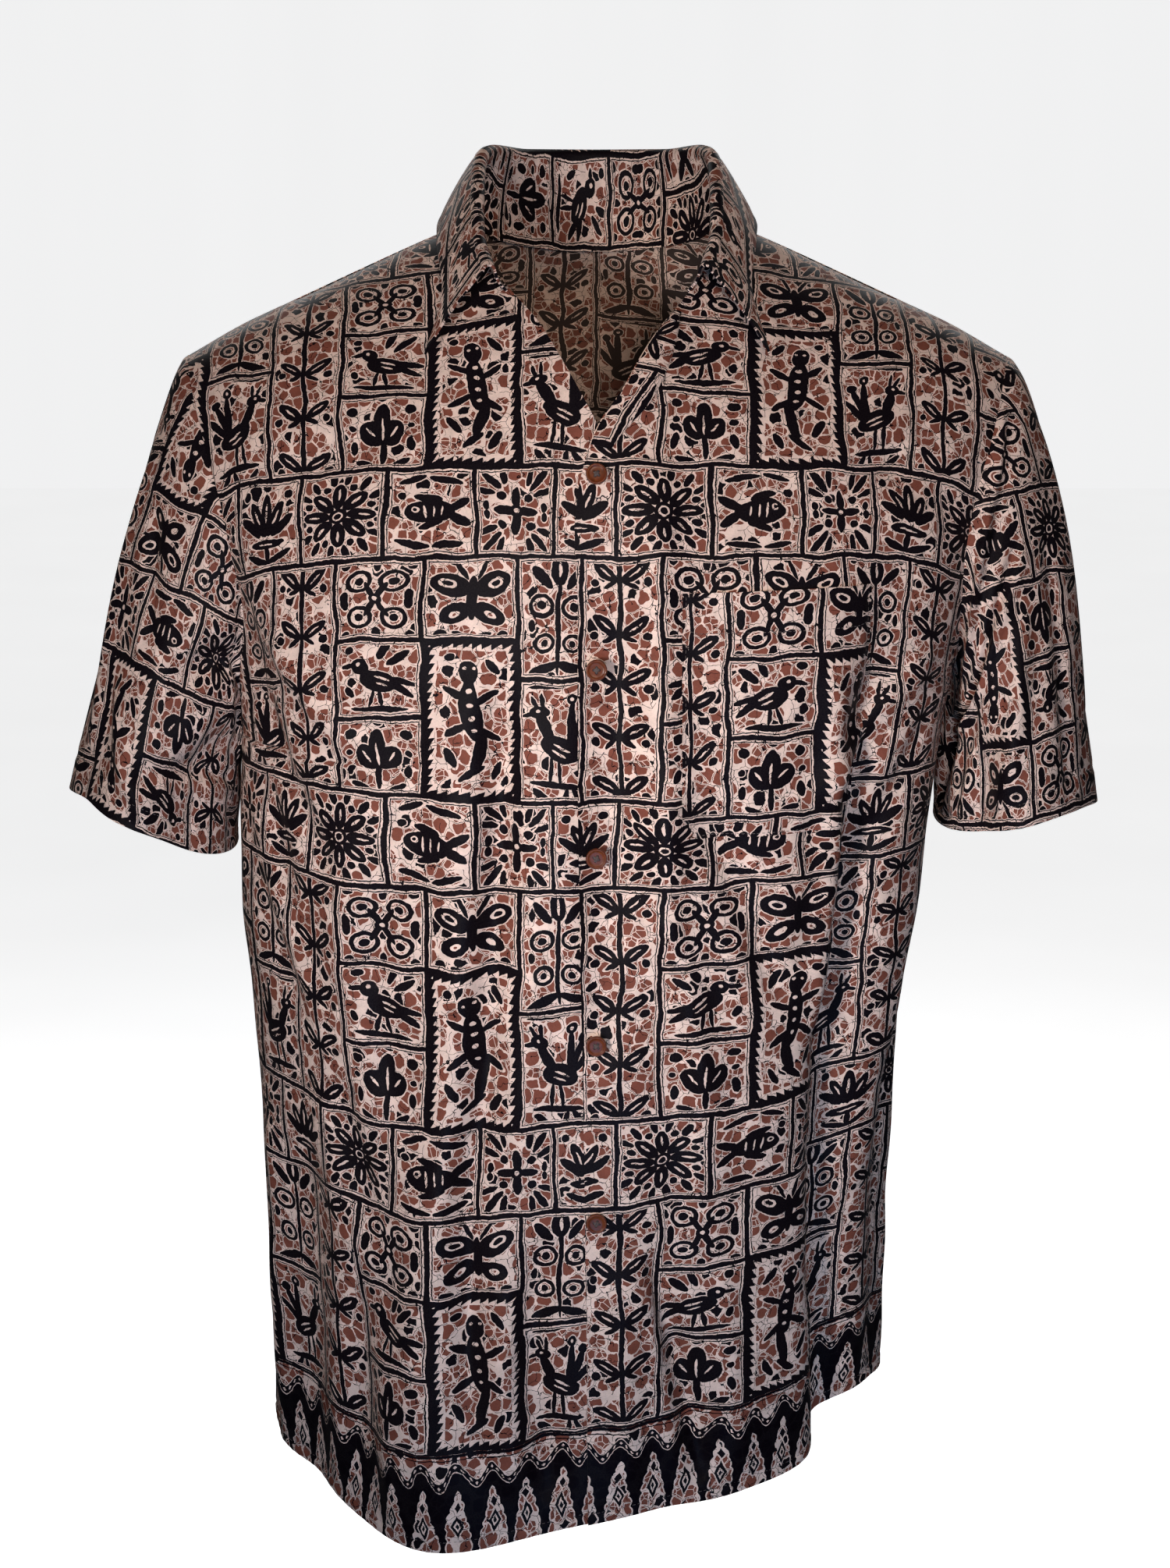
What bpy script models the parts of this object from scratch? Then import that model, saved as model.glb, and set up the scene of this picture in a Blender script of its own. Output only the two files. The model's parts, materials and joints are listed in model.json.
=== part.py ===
"""A man's short-sleeved batik shirt, worn open at the neck.

The shirt keeps the hollow form it has on a wearer: two fronts that lap and button, a one-piece back,
two set-in sleeves, a turned-down collar, a rolled front facing, a chest pocket and five buttons.
Metres, +Z up, the front faces -Y, and +X is the wearer's left. The origin is the middle of the neck,
between the tops of the shoulders.

Every panel is a grid laid on one body form. The form is a stack of level sections, drawn in to the
shoulder line at the top and pushed in and out by soft folds. A piece that lies on a panel is made
from the same form, moved out along the cloth's normal.
"""

import math

import bmesh
import bpy
import numpy as np
from mathutils import Matrix, Vector

# Cloth
WALL = 0.0012
SEAM_GAP = 0.0003
SIDE_GAP = 0.0002
EDGE_SHARE = 0.999
WELD = 0.00002

# Shoulders, underarm and neck
NECK_HALF = 0.078
SHOULDER_HALF = 0.236
SHOULDER_TOP = 0.0165
SHOULDER_SLOPE = 0.459
SHOULDER_SEAM_Y = 0.003
UNDERARM_Z = -0.275
BACK_NECK_DROP = 0.016
FRONT_RISE = 0.200
BACK_RISE = 0.260
RISE_POWER = 0.72
SHOULDER_ROUNDING = 0.20

# Steps round and down the form over which its normal is taken
NORMAL_TURN = 0.004
NORMAL_DROP = 0.0008

# Grid rows: share of each panel's rows below the underarm, and how they gather at the shoulder
UNDERARM_SHARE = 0.56
ROW_GATHER = 1.25

# Lap of the fronts
LAP_LIFT = 0.0024
LAP_FLAT = 0.018
LAP_FADE = 0.050

# Facing that rolls out along the open edge of the wearer's left front
FACING_FOOT = 0.592
FACING_TOP = 0.865
FACING_WIDTH = 0.016
FACING_SETBACK = 0.0006
FACING_LIFT = 0.0019
FACING_SWELL = 0.0018
FACING_LEAN = 0.33
FACING_FOOT_TURN = 0.12
FACING_LEAST = 0.25

# Collar
COLLAR_SIDE = 0.45
COLLAR_END = 0.90
COLLAR_SEAM_LIFT = 0.0019
COLLAR_BACK_RAISE = 0.0008
COLLAR_ROLL_RADIUS = 0.0030
COLLAR_STAND_SWELL = 0.0015
COLLAR_FALL_SWELL = 0.0020
COLLAR_FALL_STOPS = (0.35, 0.70)
COLLAR_ROWS = 5 + len(COLLAR_FALL_STOPS)

# Sleeves
ARMHOLE_STEP = 0.0011
ARMHOLE_GATHER = 1.2
CUFF_HALF_DEPTH = 0.0720
CUFF_CENTRE_Y = -0.004
CUFF_TWIST = 0.007
CUFF_PULL = 0.230
CUFF_SWING = 0.05
SLEEVE_LENGTH = 0.260
CAP_OUT_UNDER = 0.25
CAP_ASIDE_UNDER = 0.42
CAP_ASIDE_TOP = 0.126
CAP_LEVEL = 0.56

# Pocket
POCKET_WIDTH = 0.106
POCKET_HEIGHT = 0.136
POCKET_LEFT = 0.046
POCKET_TOP = -0.173
POCKET_CORNER = 0.012
POCKET_LIFT = 0.0024
POCKET_SIDE_LIFT = 0.0008
POCKET_GAPE = 0.0016
POCKET_CORNER_SHARE = 0.10
POCKET_GAPE_SHARE = 0.4
POCKET_SIDE_SHARE = 0.3

# Buttons
BUTTON_RADIUS = 0.0058
BUTTON_THICK = 0.0024
BUTTON_BEVEL = 0.0006
BUTTON_RIM = 0.0012
BUTTON_DISH = 0.0007
BUTTON_HOLE_RADIUS = 0.00085
BUTTON_HOLE_SPREAD = 0.0014
BUTTON_SHARP_ANGLE = 35.0
BUTTON_X = -0.0005

# Level sections of the body: half widths to the wearer's left and right, depths to front and back,
# and the power of the curve that joins them (2 is an ellipse)
SECTIONS = {
    "columns": ("z", "left", "right", "front", "back", "power"),
    "rows": (
        (-0.730, 0.173, 0.196, 0.150, 0.146, 1.95),
        (-0.650, 0.172, 0.197, 0.151, 0.144, 2.00),
        (-0.550, 0.170, 0.199, 0.152, 0.138, 2.10),
        (-0.450, 0.176, 0.203, 0.152, 0.132, 2.20),
        (-0.360, 0.188, 0.209, 0.151, 0.130, 2.30),
        (-0.275, 0.198, 0.207, 0.149, 0.134, 2.40),
        (-0.200, 0.216, 0.217, 0.144, 0.138, 2.40),
        (-0.120, 0.240, 0.240, 0.134, 0.136, 2.40),
        (-0.040, 0.262, 0.262, 0.124, 0.128, 2.40),
        (0.060, 0.280, 0.280, 0.118, 0.120, 2.40),
    ),
}

# Height of the hem by angle in degrees: 0 centre front, 90 the wearer's left side, 180 centre back
HEM = {
    "columns": ("angle", "z"),
    "rows": (
        (-180.0, -0.706),
        (-90.0, -0.706),
        (-62.0, -0.717),
        (-29.0, -0.733),
        (0.0, -0.713),
        (30.0, -0.702),
        (50.0, -0.690),
        (62.0, -0.670),
        (90.0, -0.675),
        (180.0, -0.706),
    ),
}

# Distance of the armhole seams from the middle by height
ARMHOLE = {
    "columns": ("z", "front", "back"),
    "rows": (
        (-0.275, 0.2050, 0.2069),
        (-0.250, 0.2055, 0.2074),
        (-0.215, 0.2050, 0.2073),
        (-0.180, 0.2055, 0.2080),
        (-0.140, 0.2110, 0.2130),
        (-0.100, 0.2230, 0.2230),
        (-0.0555, 0.2360, 0.2360),
    ),
}

# Free edge of each front from the underarm's level to the shoulder: up the lap, the open neck and the
# neck seam. Sideways distances are positive towards the front's own side
NECKLINE = {
    "columns": ("share", "left_x", "left_z", "right_x", "right_z"),
    "rows": (
        (0.00, -0.0105, -0.275, -0.0140, -0.275),
        (0.30, -0.0105, -0.190, -0.0140, -0.190),
        (0.54, -0.0090, -0.112, -0.0125, -0.115),
        (0.63, 0.0010, -0.083, 0.0000, -0.084),
        (0.70, 0.0127, -0.067, 0.0110, -0.064),
        (0.76, 0.0230, -0.050, 0.0210, -0.048),
        (0.83, 0.0340, -0.035, 0.0330, -0.031),
        (0.90, 0.0500, -0.018, 0.0500, -0.014),
        (0.95, 0.0640, 0.000, 0.0640, 0.001),
        (1.00, 0.0780, 0.0165, 0.0780, 0.0165),
    ),
}

# Half of the collar, from centre back (0) over the shoulder (0.45) to its front end (1)
COLLAR = {
    "columns": ("along", "roll_x", "roll_y", "roll_z", "edge_x", "edge_y", "edge_z"),
    "rows": (
        (0.00, 0.0000, 0.0610, 0.0540, 0.0000, 0.0840, -0.0120),
        (0.11, 0.0195, 0.0575, 0.0543, 0.0270, 0.0795, -0.0108),
        (0.22, 0.0370, 0.0465, 0.0550, 0.0520, 0.0640, -0.0070),
        (0.45, 0.0620, 0.0110, 0.0570, 0.0875, 0.0150, 0.0170),
        (0.62, 0.0645, -0.0180, 0.0390, 0.0890, -0.0230, 0.0080),
        (0.80, 0.0635, -0.0450, 0.0150, 0.0850, -0.0570, -0.0165),
        (1.00, 0.0570, -0.0700, -0.0020, 0.0945, -0.0840, -0.0490),
    ),
}

# Soft folds of the body. Angle and width in degrees, lean in degrees for each metre of height, depth
# out of the form. A fold starts at the top, is full from full to low, and has faded out by end
BODY_FOLDS = {
    "columns": ("angle", "lean", "width", "depth", "top", "full", "low", "end"),
    "rows": (
        (48.5, -25.0, 6.5, -0.0210, -0.10, -0.38, -0.90, -1.00),
        (68.0, 0.0, 11.0, 0.0060, -0.16, -0.34, -0.42, -0.66),
        (14.0, 0.0, 9.0, -0.0070, -0.40, -0.66, -0.90, -1.00),
        (-28.0, 0.0, 13.0, 0.0180, -0.40, -0.72, -0.90, -1.00),
        (-60.0, 10.0, 9.0, -0.0080, -0.30, -0.58, -0.90, -1.00),
        (-66.0, -60.0, 8.0, -0.0060, -0.12, -0.22, -0.30, -0.50),
        (112.0, 0.0, 10.0, 0.0070, -0.30, -0.60, -0.90, -1.00),
        (136.0, -12.0, 10.0, -0.0110, -0.24, -0.62, -0.90, -1.00),
        (166.0, 8.0, 12.0, 0.0080, -0.34, -0.66, -0.90, -1.00),
        (196.0, 10.0, 10.0, -0.0080, -0.30, -0.64, -0.90, -1.00),
        (226.0, 14.0, 11.0, 0.0090, -0.22, -0.60, -0.90, -1.00),
        (250.0, 0.0, 9.0, -0.0070, -0.20, -0.52, -0.90, -1.00),
    ),
}

# Soft folds of the sleeves, side 1 the wearer's left and -1 the right. Angle and width in degrees from
# the underarm over the front, lean in degrees for the whole length, shares from the cap to the cuff
SLEEVE_FOLDS = {
    "columns": ("side", "angle", "lean", "width", "depth", "start", "full"),
    "rows": (
        (1, 48.0, 20.0, 16.0, -0.0060, 0.25, 0.70),
        (1, 84.0, -10.0, 18.0, 0.0040, 0.40, 0.90),
        (1, 140.0, 30.0, 20.0, -0.0040, 0.45, 0.95),
        (1, 232.0, 20.0, 22.0, -0.0050, 0.35, 0.85),
        (1, 290.0, -10.0, 20.0, 0.0050, 0.35, 0.85),
        (-1, 52.0, 50.0, 17.0, -0.0070, 0.30, 0.75),
        (-1, 98.0, 30.0, 16.0, 0.0040, 0.45, 0.90),
        (-1, 134.0, 40.0, 18.0, -0.0055, 0.45, 0.85),
        (-1, 238.0, 10.0, 22.0, -0.0050, 0.35, 0.85),
        (-1, 296.0, 10.0, 20.0, 0.0050, 0.35, 0.85),
    ),
}

# Each sleeve's cuff: its middle and half width, the heights of its four quarters, how far the cap
# reaches out before it turns down, and how much the sleeve flares at the cuff
CUFFS = {
    "columns": (
        "side",
        "middle_x",
        "half_width",
        "outer_z",
        "front_z",
        "inner_z",
        "back_z",
        "cap",
        "flare",
    ),
    "rows": (
        (1, 0.2480, 0.0480, -0.319, -0.318, -0.329, -0.323, 0.080, 0.20),
        (-1, 0.2620, 0.0490, -0.311, -0.322, -0.345, -0.328, 0.050, 0.30),
    ),
}

# Heights of the buttons, and how far each one sinks towards the lap
BUTTONS = {
    "columns": ("z", "sink"),
    "rows": (
        (-0.110, 0.0006),
        (-0.214, 0.0001),
        (-0.318, 0.0000),
        (-0.425, 0.0000),
        (-0.529, 0.0000),
    ),
}

CLOTH_COLOUR = (0.30, 0.18, 0.125, 1.0)
CLOTH_ROUGHNESS = 0.85
BUTTON_COLOUR = (0.16, 0.05, 0.012, 1.0)
BUTTON_ROUGHNESS = 0.25


def column(table, name):
    """One named column of a table."""
    place = table["columns"].index(name)
    return np.array([row[place] for row in table["rows"]])


def read(table, name, at):
    """A named column at a value of the first column, on a smooth curve through the rows."""
    keys = column(table, table["columns"][0])
    values = column(table, name)
    slopes = np.gradient(values, keys)
    low = np.clip(np.searchsorted(keys, at) - 1, 0, len(keys) - 2)
    step = keys[low + 1] - keys[low]
    share = np.clip((at - keys[low]) / step, 0.0, 1.0)
    return curve(values[low], slopes[low] * step, values[low + 1], slopes[low + 1] * step, share)


def curve(start, leave, end, arrive, share):
    """A cubic between two values or points with the slopes it leaves and arrives with."""
    rest = 1.0 - share
    first = (start * (1.0 + 2.0 * share) + leave * share) * rest**2
    last = (end * (3.0 - 2.0 * share) - arrive * rest) * share**2
    return first + last


def ease(share):
    """A smooth step from 0 to 1."""
    share = np.clip(share, 0.0, 1.0)
    return share * share * (3.0 - 2.0 * share)


def bump(away, width):
    """A soft ridge 1 high at its middle, away and width in degrees."""
    away = (away + 180.0) % 360.0 - 180.0
    return np.exp(-((away / width) ** 2))


def shoulder_height(x):
    """Height of the shoulder line at a distance from the middle."""
    return SHOULDER_TOP + SHOULDER_SLOPE * (NECK_HALF - np.abs(x))


def back_neck_height(x):
    """Height of the back neck seam inside the shoulder points."""
    return SHOULDER_TOP - BACK_NECK_DROP * (1.0 - (x / NECK_HALF) ** 2)


SHOULDER_END = shoulder_height(SHOULDER_HALF)


def half_width(side, z):
    """Half width of the body on the side that a signed value names."""
    return np.where(np.asarray(side) >= 0.0, read(SECTIONS, "left", z), read(SECTIONS, "right", z))


def angle_at(x, z):
    """Angle from centre front at which the body reaches a sideways distance."""
    share = np.clip(np.abs(x) / half_width(x, z), 0.0, 1.0)
    return np.sign(x) * np.arcsin(share ** (read(SECTIONS, "power", z) / 2.0))


def distance_at(angle, z):
    """Sideways distance that the body reaches at an angle from centre front."""
    sine = np.sin(angle)
    return half_width(sine, z) * np.sign(sine) * np.abs(sine) ** (2.0 / read(SECTIONS, "power", z))


def body_fold(angle, z):
    """How far the folds push the body out at an angle in degrees and a height."""
    total = np.zeros(np.broadcast(angle, z).shape)
    for centre, lean, width, depth, top, full, low, end in BODY_FOLDS["rows"]:
        reach = ease((top - z) / (top - full)) * (1.0 - ease((low - z) / (low - end)))
        total += depth * reach * bump(angle - centre - lean * (z - full), width)
    return total


def bare_body(angle, z):
    """A point of the body form, from the angle in radians from centre front and the height."""
    forward = np.cos(angle) >= 0.0
    power = read(SECTIONS, "power", z)
    x = distance_at(angle, z)
    depth = np.where(forward, -read(SECTIONS, "front", z), read(SECTIONS, "back", z))
    y = depth * np.abs(np.cos(angle)) ** (2.0 / power)
    across = half_width(x, z)
    normal_x = np.sign(x) * np.abs(x / across) ** (power - 1.0) / across
    normal_y = np.sign(y) * np.abs(y / depth) ** (power - 1.0) / np.abs(depth)
    push = body_fold(np.degrees(angle), z) / (np.hypot(normal_x, normal_y) + 1e-9)
    fall = np.where(forward, FRONT_RISE, BACK_RISE)
    rise = np.clip((shoulder_height(x) - z) / fall, 0.0, 1.0)
    rounding = SHOULDER_ROUNDING * ease((np.abs(x) - NECK_HALF) / (SHOULDER_HALF - NECK_HALF))
    reach = (1.0 - (1.0 - rise) ** 2) ** (RISE_POWER - rounding)
    y = SHOULDER_SEAM_Y + (y + push * normal_y - SHOULDER_SEAM_Y) * reach
    return np.stack([x + push * normal_x, y, z + 0.0 * x], axis=-1)


def body(angle, z, lift=0.0):
    """A point of the body form moved out along the cloth's normal by lift."""
    angle, z = np.broadcast_arrays(np.asarray(angle, float), np.asarray(z, float))
    around = bare_body(angle + NORMAL_TURN, z) - bare_body(angle - NORMAL_TURN, z)
    upward = bare_body(angle, z) - bare_body(angle, z - NORMAL_DROP)
    normal = np.cross(around, upward)
    normal = normal / (np.linalg.norm(normal, axis=-1, keepdims=True) + 1e-12)
    return bare_body(angle, z) + normal * np.asarray(lift)[..., None]


def panel_rows(up):
    """Shares of a row above the hem and above the underarm, and the height at its armhole end."""
    low = np.clip(up / UNDERARM_SHARE, 0.0, 1.0)
    high = np.clip((up - UNDERARM_SHARE) / (1.0 - UNDERARM_SHARE), 0.0, 1.0)
    share = 1.0 - (1.0 - high) ** ROW_GATHER
    return low, share, UNDERARM_Z + (SHOULDER_END - UNDERARM_Z) * share


def above_hem(spread, low):
    """Height of a point below the underarm, from its angle and its share of the way up."""
    hem_z = read(HEM, "z", (np.degrees(spread) + 180.0) % 360.0 - 180.0)
    return hem_z + (UNDERARM_Z - hem_z) * low


def lap_lift(x, side=1):
    """How far the upper front, the wearer's left, stands off where it laps the lower one."""
    return LAP_LIFT * ease((LAP_FADE - x) / (LAP_FADE - LAP_FLAT)) * (side > 0)


def front_points(across, up, side):
    """Points of a front, from its shares across, free edge to side, and up."""
    name = "left" if side > 0 else "right"
    low, share, arm_z = panel_rows(up)
    edge_x = side * read(NECKLINE, name + "_x", share)
    edge_z = read(NECKLINE, name + "_z", share)
    widest = half_width(side, arm_z)
    arm_x = side * np.where(share > 0.0, read(ARMHOLE, "front", arm_z), widest)
    start = angle_at(edge_x, arm_z)
    spread = start + (angle_at(arm_x, arm_z) - start) * across
    x = distance_at(spread, arm_z)
    z = edge_z + (arm_z - edge_z) * (x - edge_x) / (arm_x - edge_x)
    below = up < UNDERARM_SHARE
    z = np.where(below, above_hem(spread, low), z)
    angle = np.where(below, spread, angle_at(x, z))
    points = body(angle, z, lap_lift(bare_body(angle, z)[..., 0], side))
    points[..., 1] -= SIDE_GAP * ((across > EDGE_SHARE) | (up > EDGE_SHARE))
    return points


def front_left_points(across, up):
    """Points of the wearer's left front."""
    return front_points(across, up, 1)


def front_right_points(across, up):
    """Points of the wearer's right front, across from the side to the free edge."""
    return front_points(1.0 - across, up, -1)


def back_points(across, up):
    """Points of the back, from its shares across, the wearer's left side to the right, and up."""
    low, share, arm_z = panel_rows(up)
    shift = 1.0 - 2.0 * across
    widest = half_width(shift, arm_z)
    arm_x = np.where(share > 0.0, read(ARMHOLE, "back", arm_z), widest)
    spread = math.pi - shift * angle_at(arm_x, arm_z)
    top_x = distance_at(shift * angle_at(SHOULDER_HALF, SHOULDER_END), SHOULDER_END)
    top_z = np.where(np.abs(top_x) > NECK_HALF, shoulder_height(top_x), back_neck_height(top_x))
    z = UNDERARM_Z + (top_z - UNDERARM_Z) * share
    below = up < UNDERARM_SHARE
    z = np.where(below, above_hem(spread, low), z)
    angle = np.where(below, spread, math.pi - angle_at(distance_at(spread, arm_z), z))
    points = body(angle, z)
    points[..., 1] += SIDE_GAP * ((np.abs(shift) > EDGE_SHARE) | (up > EDGE_SHARE))
    return points


def armhole_points(turn, side):
    """Edge that a sleeve starts from, by turn: 0 underarm, over the front, 0.5 shoulder, to the back."""
    front = turn <= 0.5
    share = np.sin(np.pi * np.where(front, turn, 1.0 - turn)) ** ARMHOLE_GATHER
    z = UNDERARM_Z + (SHOULDER_END - UNDERARM_Z) * share
    seam_x = np.where(front, read(ARMHOLE, "front", z), read(ARMHOLE, "back", z))
    seam_x = np.where(share > 1e-6, seam_x, half_width(side, z))
    opening = angle_at(side * seam_x, z)
    edge = body(np.where(front, opening, math.pi - opening), z, WALL + SEAM_GAP)
    edge[..., 0] += side * (SEAM_GAP + ARMHOLE_STEP * share)
    return edge


def sleeve_fold(turn, down, side):
    """How far the folds push a sleeve out at a turn round it and a share down it."""
    total = np.zeros(np.broadcast(turn, down).shape)
    for which, centre, lean, width, depth, start, full in SLEEVE_FOLDS["rows"]:
        if which == side:
            reach = ease((down - start) / (full - start))
            total += depth * reach * bump(turn * 360.0 - centre - lean * (down - full), width)
    return total


def cuff_points(turn, side, cuff):
    """Points of the open end of a sleeve."""
    outward = -np.cos(turn * 2.0 * math.pi)
    forward = np.sin(turn * 2.0 * math.pi)
    middle_z = (cuff["outer_z"] + cuff["inner_z"]) / 2.0
    z = middle_z + (cuff["outer_z"] - cuff["inner_z"]) / 2.0 * outward
    z = z + (np.where(forward > 0.0, cuff["front_z"], cuff["back_z"]) - middle_z) * forward**2
    z = z + CUFF_TWIST * outward * np.clip(forward, 0.0, 1.0)
    x = side * (cuff["middle_x"] + cuff["half_width"] * outward)
    return np.stack([x, CUFF_CENTRE_Y - CUFF_HALF_DEPTH * forward, z], axis=-1)


def sleeve_points(turn, down, side):
    """Points of a sleeve by turn round it and share down from the armhole (0) to the cuff (1)."""
    cuff = next(dict(zip(CUFFS["columns"], row)) for row in CUFFS["rows"] if row[0] == side)
    start = armhole_points(turn, side)
    end = cuff_points(turn, side, cuff)
    outward = -np.cos(turn * 2.0 * math.pi)
    forward = np.sin(turn * 2.0 * math.pi)
    top = (1.0 + outward) / 2.0
    out = side * (CAP_OUT_UNDER + (1.0 - CAP_OUT_UNDER) * top)
    aside = forward * (CAP_ASIDE_TOP * top - CAP_ASIDE_UNDER)
    leave = np.stack([out, aside, CAP_LEVEL * top - 1.0], axis=-1)
    leave = leave / np.linalg.norm(leave, axis=-1, keepdims=True)
    flare = side * cuff["flare"] * outward * top
    arrive = np.stack([flare, -CUFF_SWING * forward, -np.ones_like(top)], axis=-1)
    reach = np.linalg.norm(end - start, axis=-1, keepdims=True) / SLEEVE_LENGTH
    points = curve(start, leave * cuff["cap"] * reach, end, arrive * CUFF_PULL * reach, down[..., None])
    push = sleeve_fold(turn, down, side)
    points[..., 0] += side * outward * push
    points[..., 1] -= forward * push
    return points


def sleeve_left_points(across, up):
    """Points of the left sleeve, across over the front and up from the cuff."""
    return sleeve_points(across, 1.0 - up, 1)


def sleeve_right_points(across, up):
    """Points of the right sleeve, across over the back and up from the cuff."""
    return sleeve_points(1.0 - across, 1.0 - up, -1)


def neck_seam(along):
    """The collar's seam over the neck edge, from centre back (0) to the front end (1)."""
    behind = along < COLLAR_SIDE
    back_x = NECK_HALF * np.clip(along / COLLAR_SIDE, 0.0, 1.0)
    share = 1.0 - (1.0 - COLLAR_END) * np.clip((along - COLLAR_SIDE) / (1.0 - COLLAR_SIDE), 0.0, 1.0)
    x = np.where(behind, back_x, read(NECKLINE, "left_x", share))
    z = np.where(behind, back_neck_height(back_x), read(NECKLINE, "left_z", share))
    angle = angle_at(x, z)
    seam = body(np.where(behind, math.pi - angle, angle), z, COLLAR_SEAM_LIFT)
    seam[..., 2] += COLLAR_BACK_RAISE * behind
    return seam


def collar_rails(along):
    """The lines that the collar passes through, from the neck seam over the roll to the outer edge."""
    seam = neck_seam(along)
    roll = np.stack([read(COLLAR, "roll_" + axis, along) for axis in "xyz"], axis=-1)
    edge = np.stack([read(COLLAR, "edge_" + axis, along) for axis in "xyz"], axis=-1)
    aside = (edge - roll) * (1.0, 1.0, 0.0)
    aside = aside / np.linalg.norm(aside, axis=-1, keepdims=True)
    sink = np.array([0.0, 0.0, COLLAR_ROLL_RADIUS])
    inner = roll - sink
    outer = roll + aside * 2.0 * COLLAR_ROLL_RADIUS - sink
    stand = (seam + inner) / 2.0 + aside * COLLAR_STAND_SWELL
    crest = roll + aside * COLLAR_ROLL_RADIUS
    fall = [outer + (edge - outer) * share + aside * COLLAR_FALL_SWELL for share in COLLAR_FALL_STOPS]
    return np.stack([seam, stand, inner, crest, outer, *fall, edge])


def collar_points(across, over):
    """Points of the collar: across from the wearer's right end to the left, over from seam to edge."""
    rails = collar_rails(np.abs(across - 0.5) * 2.0)
    points = rails[np.rint(over * COLLAR_ROWS).astype(int), np.arange(len(over))]
    points[..., 0] *= np.where(across >= 0.5, 1.0, -1.0)
    return points


def facing_points(across, over):
    """Points of the rolled facing: across from its top to its foot, over from the roll to the edge."""
    along = 1.0 - across
    share = FACING_FOOT + (FACING_TOP - FACING_FOOT) * along
    turn = FACING_FOOT_TURN + (1.0 - FACING_FOOT_TURN) * along
    swell = np.sqrt(np.clip(np.sin(turn * math.pi), FACING_LEAST**2, 1.0))
    reach = FACING_SETBACK + FACING_WIDTH * swell * over
    x = read(NECKLINE, "left_x", share) + reach
    z = read(NECKLINE, "left_z", share) - reach * FACING_LEAN
    lift = FACING_LIFT + FACING_SWELL * np.sqrt(np.abs(np.sin(over * math.pi))) + lap_lift(x)
    return body(angle_at(x, z), z, lift)


def pocket_points(across, up):
    """Points of the pocket on the wearer's left front."""
    x = POCKET_LEFT + POCKET_WIDTH * across
    corner = POCKET_CORNER * (1.0 - ease(np.minimum(across, 1.0 - across) / POCKET_CORNER_SHARE))
    z = POCKET_TOP - (POCKET_HEIGHT - corner) * (1.0 - up)
    gape = POCKET_GAPE * ease(1.0 - (1.0 - up) / POCKET_GAPE_SHARE) * np.sin(across * math.pi)
    side = POCKET_SIDE_LIFT * ease(1.0 - (1.0 - across) / POCKET_SIDE_SHARE)
    lift = POCKET_LIFT + side + gape
    return body(angle_at(x, z), z, lift)


def plain_material(name, colour, roughness):
    """A Principled material of one colour."""
    material = bpy.data.materials.new(name)
    material.use_nodes = True
    shader = material.node_tree.nodes["Principled BSDF"]
    shader.inputs["Base Color"].default_value = colour
    shader.inputs["Roughness"].default_value = roughness
    material.diffuse_color = colour
    return material


def add_piece(name, shape, material, collection):
    """An object from a bmesh, shaded smooth, in a collection."""
    mesh = bpy.data.meshes.new(name)
    shape.to_mesh(mesh)
    shape.free()
    mesh.shade_smooth()
    mesh.materials.append(material)
    piece = bpy.data.objects.new(name, mesh)
    collection.objects.link(piece)
    return piece


def cloth_piece(name, columns, rows, place, material, collection, outward=True):
    """A cloth wall from a grid whose points place() puts from their shares across and up."""
    grid = bmesh.new()
    bmesh.ops.create_grid(grid, x_segments=columns, y_segments=rows, size=0.5)
    across = np.array([vertex.co.x + 0.5 for vertex in grid.verts])
    up = np.array([vertex.co.y + 0.5 for vertex in grid.verts])
    for vertex, point in zip(grid.verts, place(across, up)):
        vertex.co = point
    bmesh.ops.remove_doubles(grid, verts=grid.verts, dist=WELD)
    piece = add_piece(name, grid, material, collection)
    wall = piece.modifiers.new("Wall", "SOLIDIFY")
    wall.thickness = WALL
    wall.offset = 1.0 if outward else -1.0
    return piece


def button_seat(height, sink):
    """Place of a button on the lap: its seat and a turn that faces it along the cloth's normal."""
    angle = angle_at(BUTTON_X, height)
    lift = lap_lift(BUTTON_X) + WALL + SEAM_GAP - sink
    seat = Vector(body(angle, height, lift))
    above = Vector(body(angle, height, lift + BUTTON_RADIUS))
    turn = (above - seat).to_track_quat("Z", "Y").to_matrix().to_4x4()
    return Matrix.Translation(seat) @ turn


def button_blank():
    """A round button with a soft edge and a dished face."""
    blank = bmesh.new()
    middle = Matrix.Translation((0.0, 0.0, BUTTON_THICK / 2.0))
    bmesh.ops.create_cone(
        blank,
        cap_ends=True,
        segments=16,
        radius1=BUTTON_RADIUS,
        radius2=BUTTON_RADIUS,
        depth=BUTTON_THICK,
        matrix=middle,
    )
    rims = [edge for edge in blank.edges if edge.verts[0].co.z == edge.verts[1].co.z]
    bmesh.ops.bevel(
        blank, geom=rims, offset=BUTTON_BEVEL, segments=2, profile=0.5, affect="EDGES", material=-1
    )
    face = max(blank.faces, key=lambda each: each.calc_center_median().z)
    bmesh.ops.inset_region(blank, faces=[face], thickness=BUTTON_RIM)
    bmesh.ops.inset_region(blank, faces=[face], thickness=BUTTON_DISH, depth=-BUTTON_DISH)
    return blank


def button_holes():
    """Four round cutters for the thread holes of a button."""
    holes = bmesh.new()
    for quarter in range(4):
        turn = math.radians(45.0 + 90.0 * quarter)
        spot = Vector((math.cos(turn), math.sin(turn), 0.0)) * BUTTON_HOLE_SPREAD
        spot.z = BUTTON_THICK / 2.0
        bmesh.ops.create_cone(
            holes,
            cap_ends=True,
            segments=6,
            radius1=BUTTON_HOLE_RADIUS,
            radius2=BUTTON_HOLE_RADIUS,
            depth=BUTTON_THICK * 2.0,
            matrix=Matrix.Translation(spot),
        )
    return holes


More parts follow.
